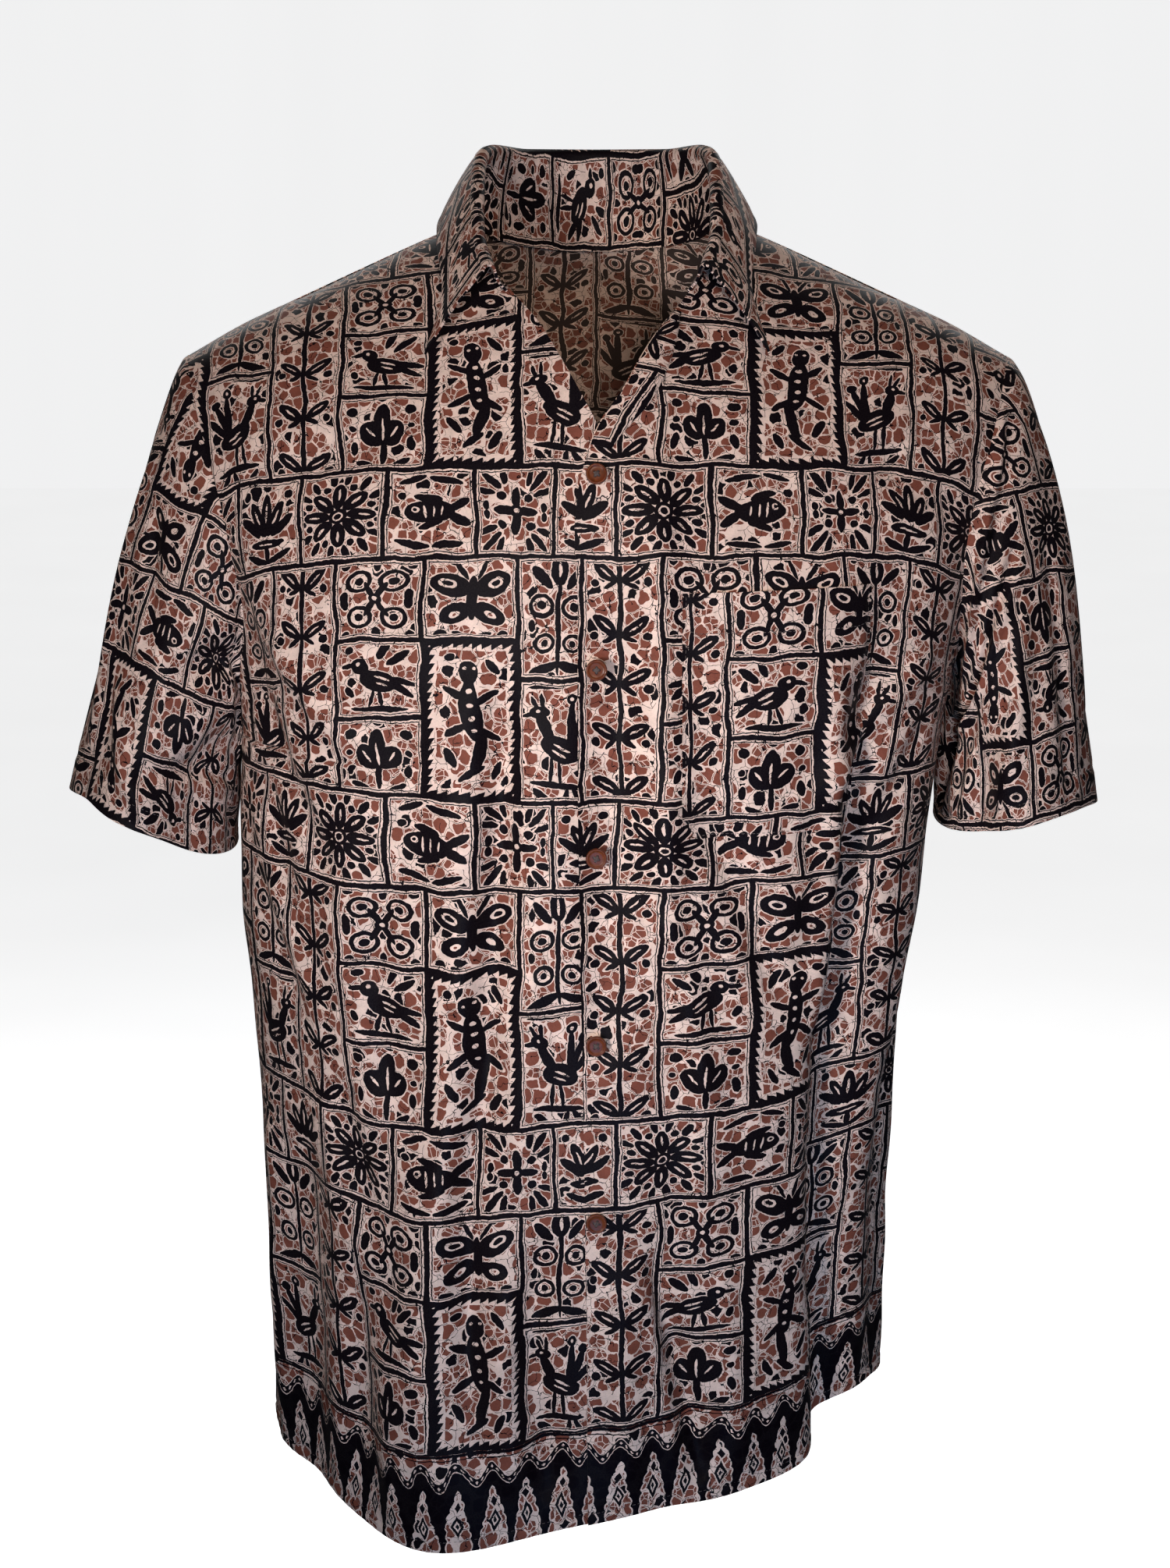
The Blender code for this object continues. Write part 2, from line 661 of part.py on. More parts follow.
def add_button(number, height, sink, material, collection, cutters):
    """One four-hole button on the lap."""
    name = f"button_{number}"
    piece = add_piece(name, button_blank(), material, collection)
    piece.data.set_sharp_from_angle(angle=math.radians(BUTTON_SHARP_ANGLE))
    piece.matrix_world = button_seat(height, sink)
    cutter = add_piece(name + "_holes", button_holes(), material, cutters)
    cutter.matrix_world = piece.matrix_world
    cutter.hide_render = True
    cutter.display_type = "WIRE"
    cut = piece.modifiers.new("Holes", "BOOLEAN")
    cut.operation = "DIFFERENCE"
    cut.object = cutter


def main():
    """Builds the shirt."""
    for item in list(bpy.data.objects):
        bpy.data.objects.remove(item, do_unlink=True)
    shirt = bpy.data.collections.new("batik_shirt")
    cutters = bpy.data.collections.new("cutters")
    cutters.hide_render = True
    for collection in (shirt, cutters):
        bpy.context.scene.collection.children.link(collection)
    cloth = plain_material("batik_cotton", CLOTH_COLOUR, CLOTH_ROUGHNESS)
    amber = plain_material("amber_button", BUTTON_COLOUR, BUTTON_ROUGHNESS)

    cloth_piece("back", 36, 20, back_points, cloth, shirt)
    cloth_piece("front_left", 26, 21, front_left_points, cloth, shirt)
    cloth_piece("front_right", 22, 21, front_right_points, cloth, shirt)
    cloth_piece("sleeve_left", 26, 9, sleeve_left_points, cloth, shirt, outward=False)
    cloth_piece("sleeve_right", 26, 9, sleeve_right_points, cloth, shirt, outward=False)
    cloth_piece("collar", 30, COLLAR_ROWS, collar_points, cloth, shirt)
    cloth_piece("front_facing", 12, 5, facing_points, cloth, shirt)
    cloth_piece("pocket", 12, 8, pocket_points, cloth, shirt)
    for number, (height, sink) in enumerate(BUTTONS["rows"], start=1):
        add_button(number, height, sink, amber, shirt, cutters)


main()
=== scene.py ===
"""A man's short-sleeved batik shirt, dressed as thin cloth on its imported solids.

Metres, +Z up, the front faces -Y and +X is the wearer's left. The shirt's form is a stack of level
sections drawn in to the shoulder line. Every panel is a grid laid on that form, with its creases, its
flat cut for the print, and a thin wall. The print is one shader group that reads the flat cut.
"""

from __future__ import annotations

import functools
import json
import logging
import math
from dataclasses import dataclass
from enum import Enum
from typing import ClassVar, Iterable

import bmesh
import bpy
import numpy as np
from bmesh.types import BMesh, BMVert
from bpy.types import Material, Mesh, Node, NodeSocket, NodeTree, Object
from mathutils import Matrix, Vector

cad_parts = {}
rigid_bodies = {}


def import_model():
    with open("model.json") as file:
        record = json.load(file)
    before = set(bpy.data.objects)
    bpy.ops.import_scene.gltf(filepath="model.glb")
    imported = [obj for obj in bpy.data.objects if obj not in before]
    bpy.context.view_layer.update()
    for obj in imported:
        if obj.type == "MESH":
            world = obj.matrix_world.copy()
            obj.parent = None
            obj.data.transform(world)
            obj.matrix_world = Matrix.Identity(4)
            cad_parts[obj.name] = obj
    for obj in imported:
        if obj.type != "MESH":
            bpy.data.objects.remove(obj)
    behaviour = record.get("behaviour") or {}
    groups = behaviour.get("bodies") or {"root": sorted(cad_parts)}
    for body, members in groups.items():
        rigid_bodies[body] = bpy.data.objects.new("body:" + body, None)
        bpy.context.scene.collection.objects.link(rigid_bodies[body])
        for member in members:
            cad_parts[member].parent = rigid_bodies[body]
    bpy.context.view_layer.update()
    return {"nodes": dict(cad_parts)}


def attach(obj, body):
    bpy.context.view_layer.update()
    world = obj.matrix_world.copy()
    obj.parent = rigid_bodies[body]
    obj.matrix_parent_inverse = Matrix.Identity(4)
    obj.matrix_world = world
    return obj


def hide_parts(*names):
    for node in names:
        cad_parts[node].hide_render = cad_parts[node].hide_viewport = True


for startup_object in list(bpy.data.objects):
    bpy.data.objects.remove(startup_object, do_unlink=True)
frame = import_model()

LOG = logging.getLogger("batik_shirt")
Array = np.ndarray
Colour = tuple[float, float, float, float]
Point = tuple[float, float, float]
MM_PER_METRE = 1000.0
SHARE_STEP, LINE_STEP = 0.004, 0.001
TROUGH_DEPTH, TROUGH_AWAY, TROUGH_WIDTH = 0.4, 1.6, 1.2
CUT_MAP = "Cut"
BAKE_MAP = "OFBake"


class Side(Enum):
    """The wearer's sides. The value is the sign of X there."""

    LEFT = 1
    RIGHT = -1


class Layer(Enum):
    """Material slots of a cloth shell."""

    FACE = 0
    REVERSE = 1
    EDGE = 2


def ease(share: Array) -> Array:
    """A smooth step from 0 to 1."""
    share = np.clip(share, 0.0, 1.0)
    return share * share * (3.0 - 2.0 * share)


def ridge(away: Array, width: float) -> Array:
    """A soft ridge 1 high at 0 away from its middle."""
    return np.exp(-((away / width) ** 2))


def bump(away: Array, width: float) -> Array:
    """A soft ridge on a circle, away and width in degrees."""
    return ridge((away + 180.0) % 360.0 - 180.0, width)


def unit(vectors: Array) -> Array:
    """Vectors brought to length 1."""
    return vectors / (np.linalg.norm(vectors, axis=-1, keepdims=True) + 1e-12)


def curve(start: Array, leave: Array, end: Array, arrive: Array, share: Array) -> Array:
    """A cubic between two values or points.

    Args:
        start: Value at share 0.
        leave: Slope at share 0.
        end: Value at share 1.
        arrive: Slope at share 1.
        share: How far along, from 0 to 1.

    Returns:
        The values at share.
    """
    rest = 1.0 - share
    first = (start * (1.0 + 2.0 * share) + leave * share) * rest**2
    return first + (end * (3.0 - 2.0 * share) - arrive * rest) * share**2


@dataclass(frozen=True)
class Table:
    """A short table of numbers with named columns. Short rows end in the common values."""

    columns: tuple[str, ...]
    rows: tuple[tuple[float, ...], ...]
    common: tuple[float, ...] = ()

    def column(self, name: str) -> Array:
        """One named column."""
        return np.array([row[name] for row in self.named()], float)

    def named(self) -> Iterable[dict[str, float]]:
        """Each row as a dict of its named values."""
        given = len(self.columns) - len(self.common)
        return (dict(zip(self.columns, row + self.common[len(row) - given :])) for row in self.rows)

    def of(self, side: Side) -> Table:
        """The rows whose first value names a side."""
        return Table(self.columns, tuple(row for row in self.rows if row[0] == side.value))

    def read(self, name: str, at: Array) -> Array:
        """A named column on a smooth curve through the rows.

        Args:
            name: The column that is read.
            at: Values of the first column.

        Returns:
            The column's values there.
        """
        keys, values = self.column(self.columns[0]), self.column(name)
        slopes = np.gradient(values, keys)
        low = np.clip(np.searchsorted(keys, at) - 1, 0, len(keys) - 2)
        step = keys[low + 1] - keys[low]
        share = np.clip((at - keys[low]) / step, 0.0, 1.0)
        return curve(values[low], slopes[low] * step, values[low + 1], slopes[low + 1] * step, share)


SECTIONS = Table(("z", "left", "right", "front", "back", "power"), (
    (-0.73, 0.173, 0.196, 0.15, 0.146, 1.95), (-0.65, 0.172, 0.197, 0.151, 0.144, 2),
    (-0.55, 0.17, 0.199, 0.152, 0.138, 2.1), (-0.45, 0.176, 0.203, 0.152, 0.132, 2.2),
    (-0.36, 0.188, 0.209, 0.151, 0.13, 2.3), (-0.275, 0.198, 0.207, 0.149, 0.134, 2.4),
    (-0.2, 0.216, 0.217, 0.144, 0.138, 2.4), (-0.12, 0.24, 0.24, 0.134, 0.136, 2.4),
    (-0.04, 0.262, 0.262, 0.124, 0.128, 2.4), (0.06, 0.28, 0.28, 0.118, 0.12, 2.4),
))
HEM = Table(("angle", "z"), (
    (-180, -0.706), (-90, -0.706), (-62, -0.717), (-29, -0.733), (0, -0.713), (30, -0.702),
    (50, -0.69), (62, -0.67), (90, -0.675), (180, -0.706),
))
ARMHOLE = Table(("z", "front", "back"), (
    (-0.275, 0.205, 0.2069), (-0.25, 0.2055, 0.2074), (-0.215, 0.205, 0.2073),
    (-0.18, 0.2055, 0.208), (-0.14, 0.211, 0.213), (-0.1, 0.223, 0.223), (-0.0555, 0.236, 0.236),
))
NECKLINE = Table(("share", "left_x", "left_z", "right_x", "right_z"), (
    (0, -0.0105, -0.275, -0.014, -0.275), (0.3, -0.0105, -0.19, -0.014, -0.19),
    (0.54, -0.009, -0.112, -0.0125, -0.115), (0.63, 0.001, -0.083, 0, -0.084),
    (0.7, 0.0127, -0.067, 0.011, -0.064), (0.76, 0.023, -0.05, 0.021, -0.048),
    (0.83, 0.034, -0.035, 0.033, -0.031), (0.9, 0.05, -0.018, 0.05, -0.014),
    (0.95, 0.064, 0, 0.064, 0.001), (1, 0.078, 0.0165, 0.078, 0.0165),
))
COLLAR = Table(("along", "roll_x", "roll_y", "roll_z", "edge_x", "edge_y", "edge_z"), (
    (0, 0, 0.061, 0.054, 0, 0.084, -0.012), (0.11, 0.0195, 0.0575, 0.0543, 0.027, 0.0795, -0.0108),
    (0.22, 0.037, 0.0465, 0.055, 0.052, 0.064, -0.007),
    (0.45, 0.062, 0.011, 0.057, 0.0875, 0.015, 0.017),
    (0.62, 0.0645, -0.018, 0.039, 0.089, -0.023, 0.008),
    (0.8, 0.0635, -0.045, 0.015, 0.085, -0.057, -0.0165),
    (1, 0.057, -0.07, -0.002, 0.0945, -0.084, -0.049),
))
BODY_FOLDS = Table(("angle", "lean", "width", "depth", "top", "full", "low", "end"), (
    (48.5, -25, 6.5, -0.021, -0.1, -0.38), (68, 0, 11, 0.006, -0.16, -0.34, -0.42, -0.66),
    (14, 0, 9, -0.007, -0.4, -0.66), (-28, 0, 13, 0.018, -0.4, -0.72),
    (-60, 10, 9, -0.008, -0.3, -0.58), (-66, -60, 8, -0.006, -0.12, -0.22, -0.3, -0.5),
    (112, 0, 10, 0.007, -0.3, -0.6), (136, -12, 10, -0.011, -0.24, -0.62),
    (166, 8, 12, 0.008, -0.34, -0.66), (196, 10, 10, -0.008, -0.3, -0.64),
    (226, 14, 11, 0.009, -0.22, -0.6), (250, 0, 9, -0.007, -0.2, -0.52),
), (-0.9, -1))
SLEEVE_FOLDS = Table(("side", "angle", "lean", "width", "depth", "start", "full"), (
    (1, 48, 20, 16, -0.006, 0.25, 0.7), (1, 84, -10, 18, 0.004, 0.4, 0.9),
    (1, 140, 30, 20, -0.004, 0.45, 0.95), (1, 232, 20, 22, -0.005, 0.35, 0.85),
    (1, 290, -10, 20, 0.005, 0.35, 0.85), (-1, 52, 50, 17, -0.007, 0.3, 0.75),
    (-1, 98, 30, 16, 0.004, 0.45, 0.9), (-1, 134, 40, 18, -0.0055, 0.45, 0.85),
    (-1, 238, 10, 22, -0.005, 0.35, 0.85), (-1, 296, 10, 20, 0.005, 0.35, 0.85),
))
CUFFS = Table(
    ("side", "middle_x", "half_width", "outer_z", "front_z", "inner_z", "back_z", "cap", "flare"),
    (
        (1, 0.248, 0.048, -0.319, -0.318, -0.329, -0.323, 0.098, 0.2),
        (-1, 0.262, 0.049, -0.311, -0.322, -0.345, -0.328, 0.06, 0.3),
    ),
)

# Creases of the body from one end to the other: angles in degrees from centre front, heights in
# metres, and the half width and height of the soft ridge (or trough, when negative) in millimetres
BODY_CREASES = Table(("angle", "z", "to_angle", "to_z", "width", "rise"), (
    (-10.8, -0.215, -12, -0.33, 6.4, -7.2), (-11.5, -0.29, -16, -0.445, 6.4, -8),
    (-15, -0.42, -20.5, -0.53, 7.2, -8), (-19.8, -0.5, -21, -0.65, 7.6, -7.4),
    (-6.5, -0.235, -7.5, -0.41, 9, 5.2), (-8, -0.38, -12, -0.52, 9, 5.2),
    (-18.5, -0.22, -20, -0.42, 12, 4.9), (-20, -0.38, -27, -0.6, 12, 4.9),
    (1.5, -0.18, 0.5, -0.44, 6.5, -7.4), (4.4, -0.1, 7.2, -0.26, 8.5, 8),
    (6.8, -0.225, 9.4, -0.375, 8.5, 9), (8.9, -0.35, 18, -0.46, 9.5, 7.6),
    (17, -0.43, 21, -0.56, 12, 4.6), (12, -0.28, 33, -0.415, 10, -6.1),
    (34, -0.215, 40, -0.33, 8, 5.5), (39, -0.3, 42, -0.43, 8, 5.9),
    (9.5, -0.55, 16, -0.62, 7, -7.7), (14.8, -0.6, 21.5, -0.695, 8, -8.8),
    (3.5, -0.56, 6, -0.695, 9, 4.3), (23, -0.56, 29, -0.69, 10, 4.3),
    (-8.5, -0.54, -10.8, -0.63, 8, -6.3), (-10.8, -0.6, -8, -0.7, 9, -8),
    (-14.5, -0.56, -15, -0.695, 9, 4.9), (-29, -0.48, -30.5, -0.695, 11, 4.3),
    (-30, -0.325, -34.5, -0.4, 9, -4.2), (-34, -0.385, -33.5, -0.49, 9, -4.2),
    (-40, -0.31, -42, -0.42, 11, 3.8), (-45, -0.46, -39, -0.56, 12, -6),
    (60, -0.215, 30, -0.3, 9, 4.3), (64, -0.25, 44, -0.37, 10, -4.6), (22, -0.12, 40, -0.085, 9, 3),
    (30, -0.1, 58, -0.14, 11, -3.2), (-12, -0.12, -26, -0.23, 10, 3),
    (-22, -0.09, -50, -0.13, 11, -3), (-58, -0.2, -34, -0.27, 9, 4.1),
    (-66, -0.24, -42, -0.34, 10, -4.3), (-70, -0.3, -48, -0.43, 11, 4.9),
    (-42, -0.56, -46, -0.722, 12, -5.7), (-36, -0.61, -35, -0.73, 9, 3.5),
    (-72, -0.5, -74, -0.712, 11, 5.4), (78, -0.33, 70, -0.52, 10, -4.1),
    (74, -0.42, 80, -0.668, 11, 4.9), (100, -0.3, 128, -0.38, 11, 4),
    (104, -0.34, 134, -0.47, 12, -4.4), (120, -0.48, 126, -0.7, 12, 4.4),
    (148, -0.42, 152, -0.704, 13, 4.8), (128, -0.11, 158, -0.17, 12, 3.4),
    (176, -0.3, 182, -0.52, 14, 3.6), (180, -0.54, 178, -0.706, 12, -4.4),
    (208, -0.11, 236, -0.16, 12, -3.4), (214, -0.4, 210, -0.704, 13, 4.4),
    (238, -0.3, 262, -0.36, 11, 4), (236, -0.36, 258, -0.5, 12, -4.4),
    (240, -0.52, 238, -0.702, 12, 4.4), (150, -0.21, 186, -0.25, 14, 3.2),
    (196, -0.19, 228, -0.3, 14, 3.2),
))

# Creases of the sleeves: turns from the underarm over the front, shares down from cap to cuff
SLEEVE_CREASES = Table(("side", "turn", "down", "to_turn", "to_down", "width", "rise"), (
    (1, 0.36, 0.02, 0.2, 0.2, 9, 4.3), (1, 0.25, 0.15, 0.11, 0.3, 8, 4.6),
    (1, 0.29, 0.33, 0.15, 0.43, 6, -6.2), (1, 0.18, 0.42, 0.06, 0.42, 6.5, -6.8),
    (1, 0.08, 0.38, 0.03, 0.88, 7, -6.5), (1, 0.27, 0.48, 0.19, 0.92, 10, 5.4),
    (1, 0.36, 0.4, 0.34, 0.97, 10, -4.1), (1, 0.13, 0.6, 0.11, 0.98, 8, 4.9),
    (1, 0.44, 0.25, 0.45, 0.8, 11, 3.8), (1, 0.92, 0.2, 0.76, 0.5, 9, 4.6),
    (1, 0.94, 0.36, 0.74, 0.74, 9, -5), (1, 0.84, 0.6, 0.72, 0.97, 9, 4.2),
    (1, 0.62, 0.4, 0.58, 0.9, 10, 3.2), (-1, 0.23, 0.6, 0.13, 0.28, 8, -7),
    (-1, 0.15, 0.36, 0.08, 0.06, 8, -5.9), (-1, 0.23, 0.5, 0.14, 0.18, 7, 4.3),
    (-1, 0.36, 0.36, 0.28, 0.58, 9, -4.3), (-1, 0.22, 0.76, 0.07, 0.34, 9, 5.7),
    (-1, 0.27, 0.86, 0.05, 0.58, 8, -5.1), (-1, 0.35, 0.72, 0.23, 0.96, 9, 4.6),
    (-1, 0.42, 0.3, 0.4, 0.9, 10, 4.1), (-1, 0.94, 0.2, 0.78, 0.46, 9, 4.6),
    (-1, 0.94, 0.38, 0.74, 0.72, 9, -5), (-1, 0.84, 0.62, 0.72, 0.97, 9, 4.2),
    (-1, 0.6, 0.36, 0.57, 0.86, 10, -3.4),
))


def crease_rise(
    table: Table, names: tuple[str, str], scale: tuple[float, float], at: tuple[Array, Array]
) -> Array:
    """Rise of the cloth over a set of creases.

    Args:
        table: Rows with both ends of a crease, a width and a rise in millimetres.
        names: The columns of its start across and along; those of its end begin with to_.
        scale: Metres in one of each column's units.
        at: Metres across and along of the points.

    Returns:
        How far each point moves out, in metres.
    """
    total = np.zeros(np.broadcast(*at).shape)
    for row in table.named():
        start_s, start_t = (row[name] * metres for name, metres in zip(names, scale))
        end_s, end_t = (row["to_" + name] * metres for name, metres in zip(names, scale))
        run = math.hypot(end_s - start_s, end_t - start_t)
        along_s, along_t = (end_s - start_s) / run, (end_t - start_t) / run
        away_s, away_t = at[0] - start_s, at[1] - start_t
        share = (away_s * along_s + away_t * along_t) / run
        off = (away_s * along_t - away_t * along_s) * MM_PER_METRE / row["width"]
        taper = np.sqrt(np.sin(math.pi * np.clip(share, 0.0, 1.0)) + 1e-9)
        taper = taper * ((share > 0.0) & (share < 1.0))
        shape = ridge(off, 1.0) - TROUGH_DEPTH * ridge(off - TROUGH_AWAY, TROUGH_WIDTH)
        total += row["rise"] / MM_PER_METRE * taper * shape
    return total


@dataclass(frozen=True)
class ShirtForm:
    """The hollow form that the shirt keeps when worn."""

    neck_half: float = 0.078
    shoulder_half: float = 0.236
    shoulder_top: float = 0.0165
    shoulder_slope: float = 0.459
    shoulder_drop: float = 0.0045
    shoulder_seam_y: float = 0.003
    seam_share: float = 0.0012
    underarm_z: float = -0.275
    back_neck_drop: float = 0.016
    front_rise: float = 0.2
    back_rise: float = 0.26
    rise_power: float = 0.72
    shoulder_rounding: float = 0.2
    wall: float = 0.0012
    girth_radius: float = 0.172
    ripple: float = 0.0009
    angle_step: float = 0.004
    height_step: float = 0.0008

    def shoulder_height(self, x: Array) -> Array:
        """Height of the shoulder line at a distance from the middle."""
        line = self.shoulder_top + self.shoulder_slope * (self.neck_half - np.abs(x))
        return line - self.shoulder_drop * ease((np.abs(x) - self.shoulder_half + 0.04) / 0.055)

    def outward_share(self, x: Array) -> Array:
        """How far a place is from the neck (0) to the armhole (1)."""
        return np.clip((np.abs(x) - self.neck_half) / (self.shoulder_half - self.neck_half), 0.0, 1.0)

    def shoulder_bend(self, x: Array) -> Array:
        """How far the shoulder line rises over a straight one from the neck to the armhole."""
        straight = self.shoulder_top + (self.shoulder_end - self.shoulder_top) * self.outward_share(x)
        return np.where(self.outward_share(x) > 0.0, self.shoulder_height(x) - straight, 0.0)

    def back_neck_height(self, x: Array) -> Array:
        """Height of the back neck seam inside the shoulder points."""
        return self.shoulder_top - self.back_neck_drop * (1.0 - (x / self.neck_half) ** 2)

    @property
    def shoulder_end(self) -> float:
        """Height of the shoulder line at the armhole."""
        return float(self.shoulder_height(self.shoulder_half))

    def arm_height(self, share: Array) -> Array:
        """Height on the armhole, from the underarm (0) to the shoulder (1)."""
        return self.underarm_z + (self.shoulder_end - self.underarm_z) * share

    def half_width(self, side: Array, z: Array) -> Array:
        """Half width on the side that a signed value names."""
        return np.where(np.asarray(side) >= 0.0, SECTIONS.read("left", z), SECTIONS.read("right", z))

    def angle_at(self, x: Array, z: Array) -> Array:
        """Angle from centre front at which the front reaches a sideways distance."""
        share = np.clip(np.abs(x) / self.half_width(x, z), 0.0, 1.0)
        return np.sign(x) * np.arcsin(share ** (SECTIONS.read("power", z) / 2.0))

    def distance_at(self, angle: Array, z: Array) -> Array:
        """Sideways distance reached at an angle from centre front."""
        reach = np.abs(np.sin(angle)) ** (2.0 / SECTIONS.read("power", z))
        return self.half_width(np.sin(angle), z) * np.sign(np.sin(angle)) * reach

    def fold(self, angle: Array, z: Array) -> Array:
        """How far the large folds push out.

        Args:
            angle: Degrees from centre front.
            z: Heights.

        Returns:
            Metres out.
        """
        total = np.zeros(np.broadcast(angle, z).shape)
        for row in BODY_FOLDS.named():
            rise = ease((row["top"] - z) / (row["top"] - row["full"]))
            fade = 1.0 - ease((row["low"] - z) / (row["low"] - row["end"]))
            middle = row["angle"] + row["lean"] * (z - row["full"])
            total += row["depth"] * rise * fade * bump(angle - middle, row["width"])
        return total

    def bare(self, angle: Array, z: Array) -> Array:
        """Points of the form with its large folds.

        Args:
            angle: Radians from centre front.
            z: Heights.

        Returns:
            The points.
        """
        forward = np.cos(angle) >= 0.0
        power = SECTIONS.read("power", z)
        x = self.distance_at(angle, z)
        depth = np.where(forward, -SECTIONS.read("front", z), SECTIONS.read("back", z))
        y = depth * np.abs(np.cos(angle)) ** (2.0 / power)
        across = self.half_width(x, z)
        normal_x = np.sign(x) * np.abs(x / across) ** (power - 1.0) / across
        normal_y = np.sign(y) * np.abs(y / depth) ** (power - 1.0) / np.abs(depth)
        push = self.fold(np.degrees(angle), z) / (np.hypot(normal_x, normal_y) + 1e-9)
        fall = np.where(forward, self.front_rise, self.back_rise)
        rise = np.clip((self.shoulder_height(x) - self.seam_share - z) / fall, 0.0, 1.0)
        outer = ease(self.outward_share(x))
        reach = (1.0 - (1.0 - rise) ** 2) ** (self.rise_power - self.shoulder_rounding * outer)
        y = self.shoulder_seam_y + (y + push * normal_y - self.shoulder_seam_y) * reach
        return np.stack([x + push * normal_x, y, z + 0.0 * x], axis=-1)

    def creases(self, angle: Array, z: Array) -> Array:
        """Rise of the cloth over its creases and its faint unevenness.

        Args:
            angle: Radians from centre front.
            z: Heights.

        Returns:
            Metres out.
        """
        turn = np.degrees(angle) % 360.0
        turn = np.where(turn > 270.0, turn - 360.0, turn)
        metres = math.radians(1.0) * self.girth_radius
        s = turn * metres
        total = crease_rise(BODY_CREASES, ("angle", "z"), (metres, 1.0), (s, z))
        wave = np.sin(41.0 * s + 9.0 * np.sin(7.0 * z)) * np.sin(33.0 * z + 2.0 + 11.0 * s)
        wave = wave + 0.5 * np.sin(97.0 * s - 31.0 * z) * np.sin(71.0 * z + 1.0)
        calm = ease((self.shoulder_height(self.distance_at(angle, z)) - z) / 0.06)
        return (total + self.ripple * wave) * calm

    def point(self, angle: Array, z: Array, lift: Array = 0.0, creased: bool = True) -> Array:
        """Points on the cloth.

        Args:
            angle: Radians from centre front.
            z: Heights.
            lift: Metres out along the cloth's normal.
            creased: Whether the small creases are added.

        Returns:
            The points.
        """
        angle, z = np.broadcast_arrays(np.asarray(angle, float), np.asarray(z, float))
        around = self.bare(angle + self.angle_step, z) - self.bare(angle - self.angle_step, z)
        upward = self.bare(angle, z) - self.bare(angle, z - self.height_step)
        out = np.asarray(lift) + (self.creases(angle, z) if creased else 0.0)
        return self.bare(angle, z) + unit(np.cross(around, upward)) * np.broadcast_to(out, z.shape)[..., None]


FORM = ShirtForm()


@dataclass(frozen=True)
class Wire:
    """A value in a node tree. Arithmetic on it adds the nodes."""

    ink: Ink
    socket: NodeSocket

    def __add__(self, other: Wire | float) -> Wire:
        """Sum."""
        return self.ink.math("ADD", self, other)

    def __sub__(self, other: Wire | float) -> Wire:
        """Difference."""
        return self.ink.math("SUBTRACT", self, other)

    def __rsub__(self, other: float) -> Wire:
        """A number less this."""
        return self.ink.math("SUBTRACT", other, self)

    def __mul__(self, other: Wire | float) -> Wire:
        """Product."""
        return self.ink.math("MULTIPLY", self, other)

    def __abs__(self) -> Wire:
        """Size without sign."""
        return self.ink.math("ABSOLUTE", self)

    def scaled(self, factor: float, shift: Wire | float) -> Wire:
        """This times a factor, plus a shift."""
        return self.ink.math("MULTIPLY_ADD", self, factor, shift)

    def least(self, other: Wire | float) -> Wire:
        """The smaller of two."""
        return self.ink.math("MINIMUM", self, other)

    def most(self, other: Wire | float) -> Wire:
        """The larger of two."""
        return self.ink.math("MAXIMUM", self, other)

    def below(self, edge: Wire | float) -> Wire:
        """1 where this is below an edge."""
        return self.ink.math("LESS_THAN", self, edge)

    def above(self, edge: Wire | float) -> Wire:
        """1 where this is above an edge."""
        return self.ink.math("GREATER_THAN", self, edge)

    def equals(self, number: float) -> Wire:
        """1 where this whole number is the given one."""
        return self.ink.math("COMPARE", self, number, 0.5)

    def wrapped(self, low: float, high: float) -> Wire:
        """This brought between two bounds by whole steps."""
        return self.ink.math("WRAP", self, high, low)

    def repeated(self, pitch: float) -> Wire:
        """This as the distance from the nearest whole pitch, with its sign."""
        return self.wrapped(-pitch / 2.0, pitch / 2.0)

    def whole(self) -> Wire:
        """This rounded down."""
        return self.ink.math("FLOOR", self)

    def mixed(self, other: Wire | float, factor: Wire) -> Wire:
        """This, or other where factor is 1."""
        return self.ink.blend("FLOAT", factor, self, other)


